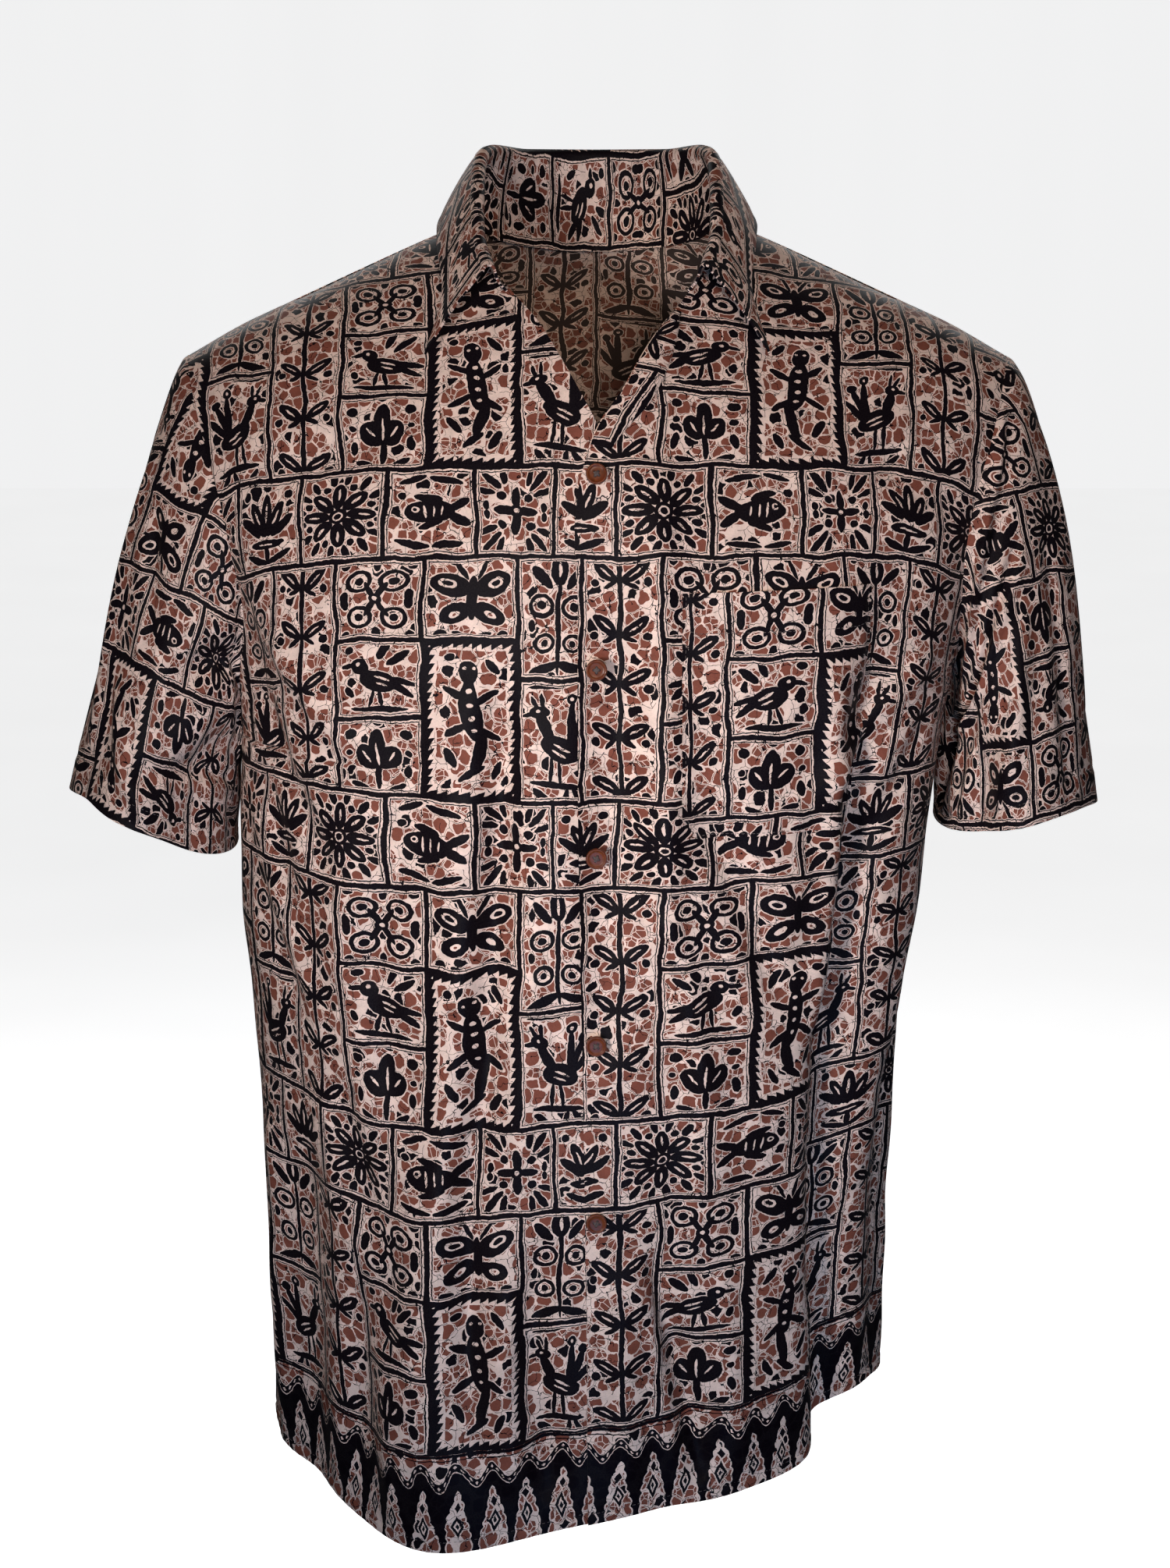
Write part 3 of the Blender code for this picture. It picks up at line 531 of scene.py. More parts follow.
class Ink:
    """Adds nodes to a tree, so that a pattern reads as a formula."""

    def __init__(self, tree: NodeTree) -> None:
        """Starts on a tree."""
        self.tree = tree

    def feed(self, sockets: Iterable[NodeSocket], values: Iterable[object]) -> None:
        """Links or sets inputs.

        Args:
            sockets: The inputs.
            values: A Wire or a plain value for each.
        """
        for socket, value in zip(sockets, values):
            if isinstance(value, Wire):
                self.tree.links.new(value.socket, socket)
            else:
                socket.default_value = value

    def node(self, kind: str, links: dict[str | int, object], **settings: object) -> Node:
        """Adds a node.

        Args:
            kind: The node's type, without its first words.
            links: Input names or places, with a Wire or a plain value for each.
            **settings: Properties of the node.

        Returns:
            The node.
        """
        made = self.tree.nodes.new("ShaderNode" + kind)
        count = len(self.tree.nodes)
        made.location = (200.0 * (count // 24), -170.0 * (count % 24))
        for name, value in settings.items():
            setattr(made, name, value)
        self.feed([made.inputs[name] for name in links], links.values())
        return made

    def wire(self, made: Node, output: str | int = 0) -> Wire:
        """One output of a node."""
        return Wire(self, made.outputs[output])

    def math(self, operation: str, *values: Wire | float) -> Wire:
        """A Math node's result."""
        return self.wire(self.node("Math", dict(enumerate(values)), operation=operation))

    def vector(self, operation: str, *values: object) -> Wire:
        """A Vector Math node's vector."""
        return self.wire(self.node("VectorMath", dict(enumerate(values)), operation=operation))

    def dot(self, vector: Wire, weights: tuple[float, float, float]) -> Wire:
        """A vector's dot product with fixed weights."""
        made = self.node("VectorMath", {0: vector, 1: weights}, operation="DOT_PRODUCT")
        return self.wire(made, "Value")

    def joined(self, x: Wire | float, y: Wire | float, z: Wire | float = 0.0) -> Wire:
        """A vector from its parts."""
        return self.wire(self.node("CombineXYZ", {0: x, 1: y, 2: z}))

    def parts(self, vector: Wire) -> tuple[Wire, Wire]:
        """The first two parts of a vector."""
        split = self.node("SeparateXYZ", {0: vector})
        return self.wire(split, 0), self.wire(split, 1)

    def blend(self, kind: str, factor: Wire, first: object, second: object) -> Wire:
        """Mixes floats or colours.

        Args:
            kind: FLOAT or RGBA.
            factor: How much of the second.
            first: The value at factor 0.
            second: The value at factor 1.

        Returns:
            The mix.
        """
        made = self.node("Mix", {}, data_type=kind)
        self.feed([socket for socket in made.inputs if socket.enabled], (factor, first, second))
        return Wire(self, next(socket for socket in made.outputs if socket.enabled))

    def noise(self, at: Wire, size: float, detail: float = 2.0) -> Node:
        """A noise over a plane, with waves of a size, from 0 to 1."""
        values = {"Vector": at, "Scale": 1.0 / size, "Detail": detail}
        return self.node("TexNoise", values, noise_dimensions="2D")

    def warped(self, at: Wire, size: float, reach: float, detail: float = 2.0) -> Wire:
        """A place moved by a noise, by up to a reach."""
        colour = self.wire(self.noise(at, size, detail), "Color")
        return self.vector("MULTIPLY_ADD", colour, (reach, reach, 0.0), at)

    def stones(self, at: Wire, size: float, feature: str) -> Node:
        """A pattern of stones of a size over a plane."""
        values = {"Vector": at, "Scale": 1.0 / size}
        return self.node("TexVoronoi", values, voronoi_dimensions="2D", feature=feature)

    def edges(self, at: Wire, size: float) -> Wire:
        """Distance to the nearest edge between stones, in sizes of a stone."""
        return self.wire(self.stones(at, size, "DISTANCE_TO_EDGE"), "Distance")

    def grain(self, scale: float, **values: float) -> Wire:
        """A noise over the object's own coordinates."""
        spot = self.wire(self.node("TexCoord", {}), "Object")
        return self.wire(self.node("TexNoise", {"Vector": spot, "Scale": scale, **values}))

    def relief(self, height: Wire, strength: float, distance: float) -> Wire:
        """Normals of a fine relief."""
        return self.wire(self.node("Bump", {"Strength": strength, "Distance": distance, "Height": height}))


class Group(Ink):
    """A new shader group."""

    def __init__(self, name: str, inputs: dict[str, str], outputs: dict[str, str]) -> None:
        """Starts the group.

        Args:
            name: The group's name.
            inputs: Names and kinds of its inputs.
            outputs: Names and kinds of its outputs.
        """
        super().__init__(bpy.data.node_groups.new(name, "ShaderNodeTree"))
        for way, sockets in (("INPUT", inputs), ("OUTPUT", outputs)):
            for socket, kind in sockets.items():
                self.tree.interface.new_socket(socket, in_out=way, socket_type="NodeSocket" + kind)
        opening = self.tree.nodes.new("NodeGroupInput")
        self.given = {socket: self.wire(opening, socket) for socket in inputs}

    def millimetres(self) -> Wire:
        """The flat cut in millimetres."""
        return self.vector("MULTIPLY", self.given["Cut"], (MM_PER_METRE, MM_PER_METRE, 0.0))

    def closed(self, *values: Wire) -> NodeTree:
        """Hands out the values, in the order of the outputs, and gives the finished group."""
        self.feed(self.tree.nodes.new("NodeGroupOutput").inputs, values)
        return self.tree


class Finish(Ink):
    """A new material on one Principled shader."""

    def __init__(self, name: str) -> None:
        """Starts the material.

        Args:
            name: Its name.
        """
        self.material = bpy.data.materials.new(name)
        self.material.use_nodes = True
        super().__init__(self.material.node_tree)

    def made(self, values: dict[str, object]) -> Material:
        """Feeds the shader.

        Args:
            values: A Wire or a plain value for each input named.

        Returns:
            The finished material.
        """
        shader = self.tree.nodes["Principled BSDF"]
        self.feed([shader.inputs[name] for name in values], values.values())
        return self.material


@dataclass(frozen=True)
class Spot:
    """A place in a cell of the print, in millimetres, with its products for the strokes."""

    plain: Wire
    squares: Wire

    @classmethod
    def at(cls, ink: Ink, x: Wire, y: Wire) -> Spot:
        """The place with these coordinates."""
        return cls(ink.joined(x, y, 1.0), ink.joined(x * x, x * y, y * y))


class Cell(Enum):
    """The patches of one repeat of the print, by the number that its layout gives them."""

    LOTUS = 0
    ROSETTE = 1
    FISH = 2
    PALMETTES = 3
    VINE = 4
    LEAF = 7
    DOVE = 8
    WHEEL = 9
    LIZARD = 10
    BUTTERFLY = 11
    HERON = 13
    SCROLLS = 14


class Fold(Enum):
    """How a motif repeats inside its cell."""

    NONE = "none"
    SIDES = "sides"
    QUARTERS = "quarters"
    STEM = "stem"
    PETALS = "petals"


@dataclass(frozen=True)
class Motif:
    """One drawn figure: oval strokes of ink (1), or of the light ground over them (0), in order.

    Millimetres from the middle of the cell, and the turn in degrees, 0 where a stroke leaves it out.
    """

    cell: Cell
    fold: Fold
    strokes: tuple[tuple[float, ...], ...]
    columns: ClassVar[tuple[str, ...]] = ("x", "y", "long", "wide", "turn", "ink")
    steepness: ClassVar[float] = 0.65

    def stroke(self, ink: Ink, spot: Spot, row: dict[str, float]) -> Wire:
        """Signed distance to one oval.

        Args:
            ink: Where the nodes go.
            spot: The place.
            row: The oval's named values.

        Returns:
            Below 0 inside the oval, near millimetres round it.
        """
        cosine, sine = math.cos(math.radians(row["turn"])), math.sin(math.radians(row["turn"]))
        long, wide = row["long"] ** -2, row["wide"] ** -2
        xx = cosine**2 * long + sine**2 * wide
        xy = 2.0 * cosine * sine * (long - wide)
        yy = sine**2 * long + cosine**2 * wide
        k = self.steepness * min(row["long"], row["wide"])
        x, y = row["x"], row["y"]
        ends = (-2.0 * xx * x - xy * y, -2.0 * yy * y - xy * x, xx * x * x + xy * x * y + yy * y * y - 1.0)
        curved = ink.dot(spot.squares, (k * xx, k * xy, k * yy))
        return curved + ink.dot(spot.plain, tuple(k * value for value in ends))

    def draw(self, ink: Ink, spot: Spot) -> Wire:
        """Signed distance to the whole figure.

        Args:
            ink: Where the nodes go.
            spot: The place.

        Returns:
            Below 0 on ink.
        """
        first, *others = Table(self.columns, self.strokes, (0.0, 1.0)).named()
        shape = self.stroke(ink, spot, first)
        for row in others:
            oval = self.stroke(ink, spot, row)
            shape = shape.least(oval) if row["ink"] else shape.most(oval * -1.0)
        return shape


MOTIFS = (
    Motif(Cell.VINE, Fold.STEM, (
        (0, 0, 40, 1.2, 90), (7.4, 0.6, 7.2, 2.9, 36), (7.4, 0.6, 5.2, 0.6, 36, 0),
        (4.6, -5.6, 3.6, 1.2, -28), (12.6, -4.4, 2, 2),
    )),
    Motif(Cell.WHEEL, Fold.QUARTERS, (
        (7.6, 9.4, 6, 5.6), (7.6, 9.4, 4.3, 3.9, 0, 0), (7.6, 9.4, 2, 1.8),
        (2.2, 3.8, 5.4, 1.3, 62), (14, 1.6, 3.2, 1.7, 90), (0, 17, 2.8, 1.6, 90), (0, 0, 2.8, 2.8),
        (0, 0, 1.3, 1.3, 0, 0), (14.2, 17.6, 2, 2),
    )),
    Motif(Cell.ROSETTE, Fold.PETALS, (
        (9.8, 0, 6, 3), (10.6, 0, 3.6, 0.7, 0, 0), (13.6, 5.6, 1.7, 1.5, 22),
        (18.6, 3.4, 3.4, 1.5, 14), (0, 0, 3.8, 3.8), (0, 0, 2.4, 2.4, 0, 0), (0, 0, 1.4, 1.4),
    )),
    Motif(Cell.DOVE, Fold.NONE, (
        (-1, -1, 8.4, 5, 22), (6.4, 6.4, 3.8, 3.3, 30), (11.2, 6.6, 3.2, 1.1, -12),
        (-10.4, -5.4, 6, 1.7, 38), (-10.8, -1.4, 6, 1.6, 14), (-2.4, 0.2, 4.8, 0.8, 26, 0),
        (-2, -2.6, 4.2, 0.6, 26, 0), (7, 7.2, 1.1, 1.1, 0, 0), (-1.4, -9.4, 4.2, 0.9, 82),
        (2.6, -9.2, 4, 0.9, 100), (0, -15.4, 11.5, 1.5, 4), (-9.2, 11.4, 5.4, 1.9, -42),
        (-3.4, 15.2, 4.8, 1.7, -66), (11.6, 15, 2, 2), (12.4, -6.4, 2.6, 1.6, 70),
    )),
    Motif(Cell.LIZARD, Fold.NONE, (
        (0.2, 5, 15, 4, 84), (1.8, 23.4, 5.6, 3.7, 80), (-2.2, -16, 11, 2.3, 100),
        (0.4, -27.6, 5.6, 1.6, 136), (6.2, 13.6, 5.6, 1.6, 36), (-6.2, 11.4, 5.6, 1.6, 146),
        (6.2, -4.6, 5.6, 1.7, -40), (-6.4, -6.6, 5.4, 1.7, -140), (0.8, 14.6, 1.5, 1.3, 0, 0),
        (0.2, 8.2, 1.5, 1.3, 0, 0), (-0.2, 1.8, 1.4, 1.3, 0, 0), (-0.8, -4.6, 1.2, 1.1, 0, 0),
        (3.6, 25, 0.9, 0.9, 0, 0), (-0.2, 25.4, 0.9, 0.9, 0, 0), (-8.2, 27, 4.6, 1.7, 58),
        (8.8, -19.6, 5, 1.7, 64), (-8.6, -27, 4.6, 1.7, 112), (9.4, 31, 2, 2),
    )),
    Motif(Cell.PALMETTES, Fold.QUARTERS, (
        (11.4, 15.6, 6, 1.7, 50), (6.8, 17.6, 4.4, 1.5, 78), (14.2, 10, 4.6, 1.6, 22),
        (0, 6.2, 5.4, 2.1, 90), (5.4, 0, 4.8, 2), (0, 0, 2.9, 2.9), (0, 0, 1.4, 1.4, 0, 0),
        (6.8, 6.8, 2.1, 2.1), (13.8, 2.4, 2.2, 1.4, 90),
    )),
    Motif(Cell.HERON, Fold.NONE, (
        (-1, -4, 9.6, 5.8, 26), (6, 6, 8.4, 2.5, 66), (9.2, 14.6, 4, 2.9, 12),
        (13.8, 13.6, 2.8, 1, -14), (8.2, 20, 3.6, 0.9, 84), (11.6, 19.4, 3.4, 0.9, 62),
        (-5.8, 9, 10.2, 1.9, 94), (-9, 6.6, 9.6, 1.9, 112), (-12, 2.6, 8.6, 1.8, 130),
        (-6.2, 21, 2.5, 2.5), (-12.6, 16.2, 2.4, 2.4), (9.8, 15.2, 1, 1, 0, 0),
        (-2, -3.4, 5.6, 0.8, 28, 0), (-0.8, -6.2, 5, 0.7, 28, 0), (-6.2, 21, 1, 1, 0, 0),
        (-1.2, -15, 6.2, 1, 86), (3.4, -14.6, 6.2, 1, 96), (0, -22, 12.5, 1.6, 4),
        (-9.6, -27.2, 4.2, 1.5, 56), (-3.4, -28, 4.2, 1.5, 104), (8.4, -27.4, 5.2, 1.6, 42),
        (3, 28.4, 10.5, 1.5, -6),
    )),
    Motif(Cell.SCROLLS, Fold.SIDES, (
        (0, -4, 22, 1.3, 90), (7.8, 6, 6, 5.6), (7.8, 6, 4.3, 3.9, 0, 0), (7.8, 6, 1.9, 1.9),
        (7.4, -12, 5.4, 5), (7.4, -12, 3.8, 3.4, 0, 0), (7.4, -12, 1.6, 1.6), (0, 23.4, 7.2, 4, 90),
        (0, 23.4, 4.8, 0.9, 90, 0), (7.8, 20, 6.4, 2.3, 52), (7, -25, 7.4, 2.3, -20),
        (13.6, -2.6, 2.8, 1.5, 90), (13.6, 29, 2, 2),
    )),
    Motif(Cell.FISH, Fold.NONE, (
        (1, 0, 10.5, 6, 4), (-11.4, 3.6, 5.4, 2.1, -34), (-11.4, -4, 5.4, 2.1, 34),
        (1.6, 7.2, 5.6, 1.9, 14), (0.4, -7.2, 5, 1.8, -16), (7.2, 1.6, 1.7, 1.7, 0, 0),
        (3.4, 0, 4.8, 0.7, 82, 0), (-0.4, 0, 4.6, 0.6, 86, 0), (-4, 0, 3.6, 0.6, 90, 0),
        (7.4, 1.6, 0.7, 0.7), (-6.4, 16.6, 7, 1.7, 12), (8, 17.4, 5.6, 1.5, -16),
        (-7, -17, 6.4, 1.7, -12), (7.4, -16.6, 6.4, 1.6, 14), (12.8, 9, 1.8, 1.8),
    )),
    Motif(Cell.BUTTERFLY, Fold.SIDES, (
        (0, 0, 9.4, 1.9, 90), (8.2, 6.6, 8.2, 5.2, 30), (6.6, -7, 6.6, 4.4, -36),
        (4, 13.8, 5.2, 0.9, 66), (6.4, 18.6, 1.9, 1.9), (9.2, 7.4, 4, 2.3, 30, 0),
        (9.2, 7.4, 2, 1.1, 30), (6.8, -7.2, 2.8, 1.6, -36, 0), (12.6, -17.4, 2.2, 2.2),
        (4.2, -18.6, 4, 1.4, 28),
    )),
    Motif(Cell.LOTUS, Fold.SIDES, (
        (0, 5.6, 10, 3.2, 90), (5.2, 3.8, 8.6, 2.8, 62), (9.4, 0.2, 7.2, 2.4, 36),
        (0, 6.4, 6, 0.8, 90, 0), (5.6, 4.4, 4.8, 0.7, 62, 0), (0, -8.6, 10, 2.4),
        (0, -8.6, 7.4, 0.6, 0, 0), (0, -14, 4.4, 1.6, 90), (6.6, -16.6, 6.8, 1.8, 22),
        (12.6, 15.2, 2.1, 2.1), (0, 19.4, 2.4, 1.8),
    )),
    Motif(Cell.LEAF, Fold.SIDES, (
        (4.2, 0, 6.8, 4.8, 68), (0, 6.4, 8, 3.4, 90), (0, -10.6, 6.8, 1.3, 90),
        (0, 2, 7.6, 0.7, 90, 0), (4.8, 1, 4, 0.7, 58, 0), (12, 12.4, 2.4, 2.4),
        (12.4, -7, 3.6, 1.7, 96), (7.4, -17.2, 4.6, 1.7, 30), (0, 18.8, 2.3, 2.3),
        (12.6, 3.2, 1.5, 1.5),
    )),
)


@dataclass(frozen=True)
class Cloth:
    """The materials of a cloth's two sides."""

    face: Material
    reverse: Material


@dataclass(frozen=True)
class PatchworkPrint:
    """The print, as a shader group that reads the flat cut. Lengths are millimetres on the cloth.

    Bands of framed patches stand over a border of pointed towers along the hem. A tall band has four
    columns, cut into one, three, two and two patches, and a short band has four more.
    """

    column: float = 48.0
    columns: int = 4
    tall: float = 134.0
    short: float = 50.0
    shift: float = 24.0
    bulge: float = 4.6
    border: float = 58.0
    stem_pitch: float = 27.0
    petals: int = 8
    frame: float = 1.35
    gap: float = 2.15
    rule: float = 2.75
    tooth: float = 5.2
    halo: float = 0.72
    widen: float = 1.26
    heighten: float = 1.09
    bolden: float = 0.2
    stone: float = 8.0
    pebble: float = 0.52
    mortar: float = 0.5
    hairline: float = 0.13
    crack: float = 4.4
    crackle: float = 10.5
    crackle_width: float = 0.2
    dark_stones: float = 0.84
    unworn: float = 0.44
    tower_pitch: float = 20.5
    tower_half: float = 8.0
    tower_top: float = 37.0
    lobe: float = 6.2
    chain: float = 44.5
    chain_swing: float = 5.4
    chain_half: float = 2.3
    far: float = 100.0
    waver: tuple[float, float] = (3.4, 26.0)
    rubbed: float = 0.2
    rubbed_share: float = 0.4
    clear: tuple[float, float] = (0.4, 1.2)
    tower_taper: float = 1.5
    tower_line: float = 0.9
    diamond: Point = (3.6, 15.0, 7.5)
    cap: Point = (2.0, 27.0, 3.2)
    rules: tuple[tuple[float, float], ...] = ((1.0, 0.9), (3.6, 0.35))

    def build(self) -> NodeTree:
        """Makes the group.

        Returns:
            The group.
        """
        colours = dict.fromkeys(("Light", "Earth", "Dark"), "Color")
        ink = Group("patchwork_print", {"Cut": "Vector", **colours}, {"Colour": "Color", "Ink": "Float"})
        flat = ink.millimetres()
        u, v = ink.parts(self.by_hand(ink, flat))
        stones, dark_seeds, between = self.stones(ink, flat)
        patch_dark, patch_light = self.patches(ink, u, v)
        border_dark, border_light = self.towers(ink, u, v)
        in_border = v.below(self.border)
        dark = patch_dark.mixed(border_dark, in_border)
        light = patch_light.mixed(border_light, in_border)
        lines = self.hairlines(ink, flat).most(between)
        dark = dark.most(((1.0 - light) * dark_seeds).most(lines))
        return self.painted(ink, flat, stones * (1.0 - light), dark)

    def by_hand(self, ink: Ink, flat: Wire) -> Wire:
        """Moves the place a little, so that lines waver as if drawn by hand.

        Args:
            ink: Where the nodes go.
            flat: The flat place.

        Returns:
            The moved place.
        """
        fine, wide = self.waver
        near = ink.wire(ink.noise(flat, fine, 1.0), "Color")
        moved = ink.vector("MULTIPLY_ADD", near, (1.0, 1.0, 0.0), ink.warped(flat, wide, 5.0, 1.0))
        return ink.vector("SUBTRACT", moved, (3.0, 3.0, 0.0))

    def stones(self, ink: Ink, flat: Wire) -> tuple[Wire, Wire, Wire]:
        """Draws the pebbled ground.

        Args:
            ink: Where the nodes go.
            flat: The flat place.

        Returns:
            Masks of its brown pebbles, of a few dark ones, and of the lines between.
        """
        moved = ink.warped(flat, 5.0, 3.0)
        edge = ink.edges(moved, self.stone)
        cells = ink.stones(moved, self.stone, "F1")
        roll, other = ink.parts(ink.wire(cells, "Color"))
        whole = ink.edges(flat, self.crack).above(self.rubbed / self.crack)
        whole = whole.most(other.above(self.rubbed_share))
        round_in = ink.wire(cells, "Distance").below(self.pebble)
        solid = edge.above(self.mortar / self.stone) * round_in
        brown = solid * roll.below(self.dark_stones) * whole
        seed = edge.above(1.0 / self.stone) * roll.above(self.dark_stones) * round_in
        return brown, seed, edge.below(self.hairline / self.stone) * self.patchy(ink, flat, 12.0)

    def patchy(self, ink: Ink, flat: Wire, size: float) -> Wire:
        """Mask of the larger part of the cloth, in patches of a size."""
        return ink.wire(ink.noise(flat, size, 1.0)).above(self.unworn)

    def hairlines(self, ink: Ink, flat: Wire) -> Wire:
        """Mask of thin lines that wander over the cloth, as wax cracks do."""
        edge = ink.edges(ink.warped(flat, 7.0, 9.0), self.crackle)
        return edge.below(self.crackle_width / self.crackle) * self.patchy(ink, flat, 16.0)

    def layout(self, ink: Ink, u: Wire, v: Wire) -> tuple[Wire, Wire, Wire, Wire]:
        """Finds the patch that a place is in.

        Args:
            ink: Where the nodes go.
            u: Millimetres across.
            v: Millimetres above the hem.

        Returns:
            The place in the patch, across and up, the patch's half height and its number.
        """
        y0 = (v - self.border).wrapped(0.0, self.tall + self.short)
        in_short = y0.above(self.tall)
        across = in_short.scaled(self.shift, u)
        wave = ink.math("SINE", across * (math.tau / (self.column * self.columns)))
        across = wave.scaled(self.bulge, across) * (1.0 / self.column)
        turn = across.wrapped(0.0, float(self.columns))
        column = turn.whole()
        repeat = (across * (1.0 / self.columns)).whole().wrapped(0.0, 2.0)
        x = (turn - column - 0.5) * self.column * repeat.scaled(-2.0, 1.0)
        third = self.tall / 3.0
        step = column.equals(1.0).scaled(-2.0 * third, self.tall)
        step = column.equals(2.0).scaled(-third, step)
        step = column.equals(3.0).scaled(-self.tall / 2.0, step)
        level = ink.math("DIVIDE", y0, step).whole()
        low = (level * step).mixed(self.tall, in_short)
        high = (low + step).least(self.tall).mixed(self.tall + self.short, in_short)
        number = (column * 3.0 + level + 4.0).mixed(column, in_short)
        return x, y0 - (low + high) * 0.5, (high - low) * 0.5, number

    def spots(self, ink: Ink, x: Wire, y: Wire) -> dict[Fold, Spot]:
        """Folds a place in a patch, for each way that a motif repeats in it.

        Args:
            ink: Where the nodes go.
            x: Millimetres from the patch's middle across.
            y: Millimetres from its middle up.

        Returns:
            The folded places.
        """
        mirrored = abs(x)
        radius = ink.math("SQRT", x * x + y * y)
        turn = abs(ink.math("ARCTAN2", y, x).repeated(math.tau / self.petals))
        petal = radius * ink.math("COSINE", turn), radius * ink.math("SINE", turn)
        return {
            Fold.NONE: Spot.at(ink, x, y),
            Fold.SIDES: Spot.at(ink, mirrored, y),
            Fold.QUARTERS: Spot.at(ink, mirrored, abs(y)),
            Fold.STEM: Spot.at(ink, mirrored, y.repeated(self.stem_pitch)),
            Fold.PETALS: Spot.at(ink, *petal),
        }

    def patches(self, ink: Ink, u: Wire, v: Wire) -> tuple[Wire, Wire]:
        """Draws the framed patches with their figures.

        Args:
            ink: Where the nodes go.
            u: Millimetres across.
            v: Millimetres above the hem.

        Returns:
            Masks of their dark and of their bare light parts.
        """
        x, y, half, number = self.layout(ink, u, v)
        inset = (self.column / 2.0 - abs(x)).least(half - abs(y))
        zigzag = number.equals(float(Cell.LIZARD.value))
        tooth = abs((x + y).repeated(self.tooth))
        spots = self.spots(ink, x * (1.0 / self.widen), y * (1.0 / self.heighten))
        figures = [
            number.equals(float(motif.cell.value)).scaled(-self.far, motif.draw(ink, spots[motif.fold]))
            for motif in MOTIFS
        ]
        shape = functools.reduce(Wire.least, figures) + (self.far - self.bolden)
        plain = inset.below(self.frame).most(inset.above(self.gap) * inset.below(self.rule))
        framed = plain.mixed(inset.below(tooth.scaled(1.1, self.tooth / 2.0)), zigzag)
        past_rule, past_teeth = self.clear
        clear = inset.below(self.rule + past_rule)
        clear = clear.mixed(inset.below(self.tooth + past_teeth), zigzag)
        return framed.most(shape.below(0.0) * (1.0 - clear)), clear.most(shape.below(self.halo))

    def towers(self, ink: Ink, u: Wire, v: Wire) -> tuple[Wire, Wire]:
        """Draws the hem border: towers under a swinging chain of beads and two rules.

        Args:
            ink: Where the nodes go.
            u: Millimetres across.
            v: Millimetres above the hem.

        Returns:
            Masks of its dark and of its bare light parts.
        """
        x = abs(u.repeated(self.tower_pitch))
        lobes = abs(ink.math("SINE", v * (math.pi / self.lobe)))
        taper = ink.math("POWER", (v * (1.0 / self.tower_top)).most(0.0), self.tower_taper)
        side = x - (lobes.scaled(1.0, self.tower_half) - taper * self.tower_half)
        side = side.most(v - self.tower_top)
        diamond, cap = (
            x * (1.0 / wide) + abs(v - middle) * (1.0 / tall)
            for wide, middle, tall in (self.diamond, self.cap)
        )
        inside = (diamond.above(0.55) * diamond.below(1.0)).most(diamond.below(0.28)).most(cap.below(1.0))
        tower_light = side.above(-self.tower_line).most(diamond.below(1.22)).most(cap.below(1.5))
        tower_light = tower_light * side.below(0.0)
        swing = ink.math("COSINE", x * (math.tau / self.tower_pitch))
        off = v - swing.scaled(self.chain_swing, self.chain)
        bead = abs(u.repeated(self.tower_pitch / 6.0)) + abs(off)
        chain = abs(off).below(self.chain_half)
        chain_light = (abs(off).below(self.chain_half + 0.7) - chain).most(bead.below(1.0))
        broad, thin = (abs(v - (self.border - down)).below(half) for down, half in self.rules)
        rules = broad.most(thin)
        under = 1.0 - off.above(0.0)
        under_dark = (1.0 - side.below(0.0)).most(inside * side.below(-self.tower_line))
        dark = (under_dark * under).most(chain).most(rules)
        return dark * (1.0 - chain_light), (tower_light * under).most(chain_light)

    def painted(self, ink: Group, flat: Wire, earth: Wire, dark: Wire) -> NodeTree:
        """Turns the masks into colour and closes the group.

        Args:
            ink: The group.
            flat: The flat place.
            earth: Mask of the brown parts.
            dark: Mask of the dark parts.

        Returns:
            The finished group.
        """
        uptake = ink.wire(ink.noise(flat, 9.0, 3.0))
        speck = ink.wire(ink.noise(flat, 0.9))
        shade = speck.scaled(0.3, uptake.scaled(0.55, 0.575))
        ground = ink.blend("RGBA", earth, ink.given["Light"], ink.given["Earth"])
        shaded = ink.wire(ink.node("VectorMath", {0: ground, "Scale": shade}, operation="SCALE"))
        inked = dark * speck.scaled(0.02, 0.985)
        return ink.closed(ink.blend("RGBA", inked, shaded, ink.given["Dark"]), dark)


@dataclass(frozen=True)
class Weave:
    """A fine plain weave as a shader group: threads both ways, uneven in thickness."""

    pitch: float = 0.45
    stretch: float = 0.12
    slub: float = 4.0

    def build(self) -> NodeTree:
        """Makes the group.

        Returns:
            The group.
        """
        ink = Group("weave", {"Cut": "Vector"}, {"Height": "Float"})
        flat = ink.millimetres()
        warp, weft = (
            ink.wire(ink.noise(ink.vector("MULTIPLY", flat, along), self.pitch, 1.0))
            for along in ((1.0, self.stretch, 0.0), (self.stretch, 1.0, 0.0))
        )
        return ink.closed(ink.wire(ink.noise(flat, self.slub)).scaled(0.6, warp + weft))


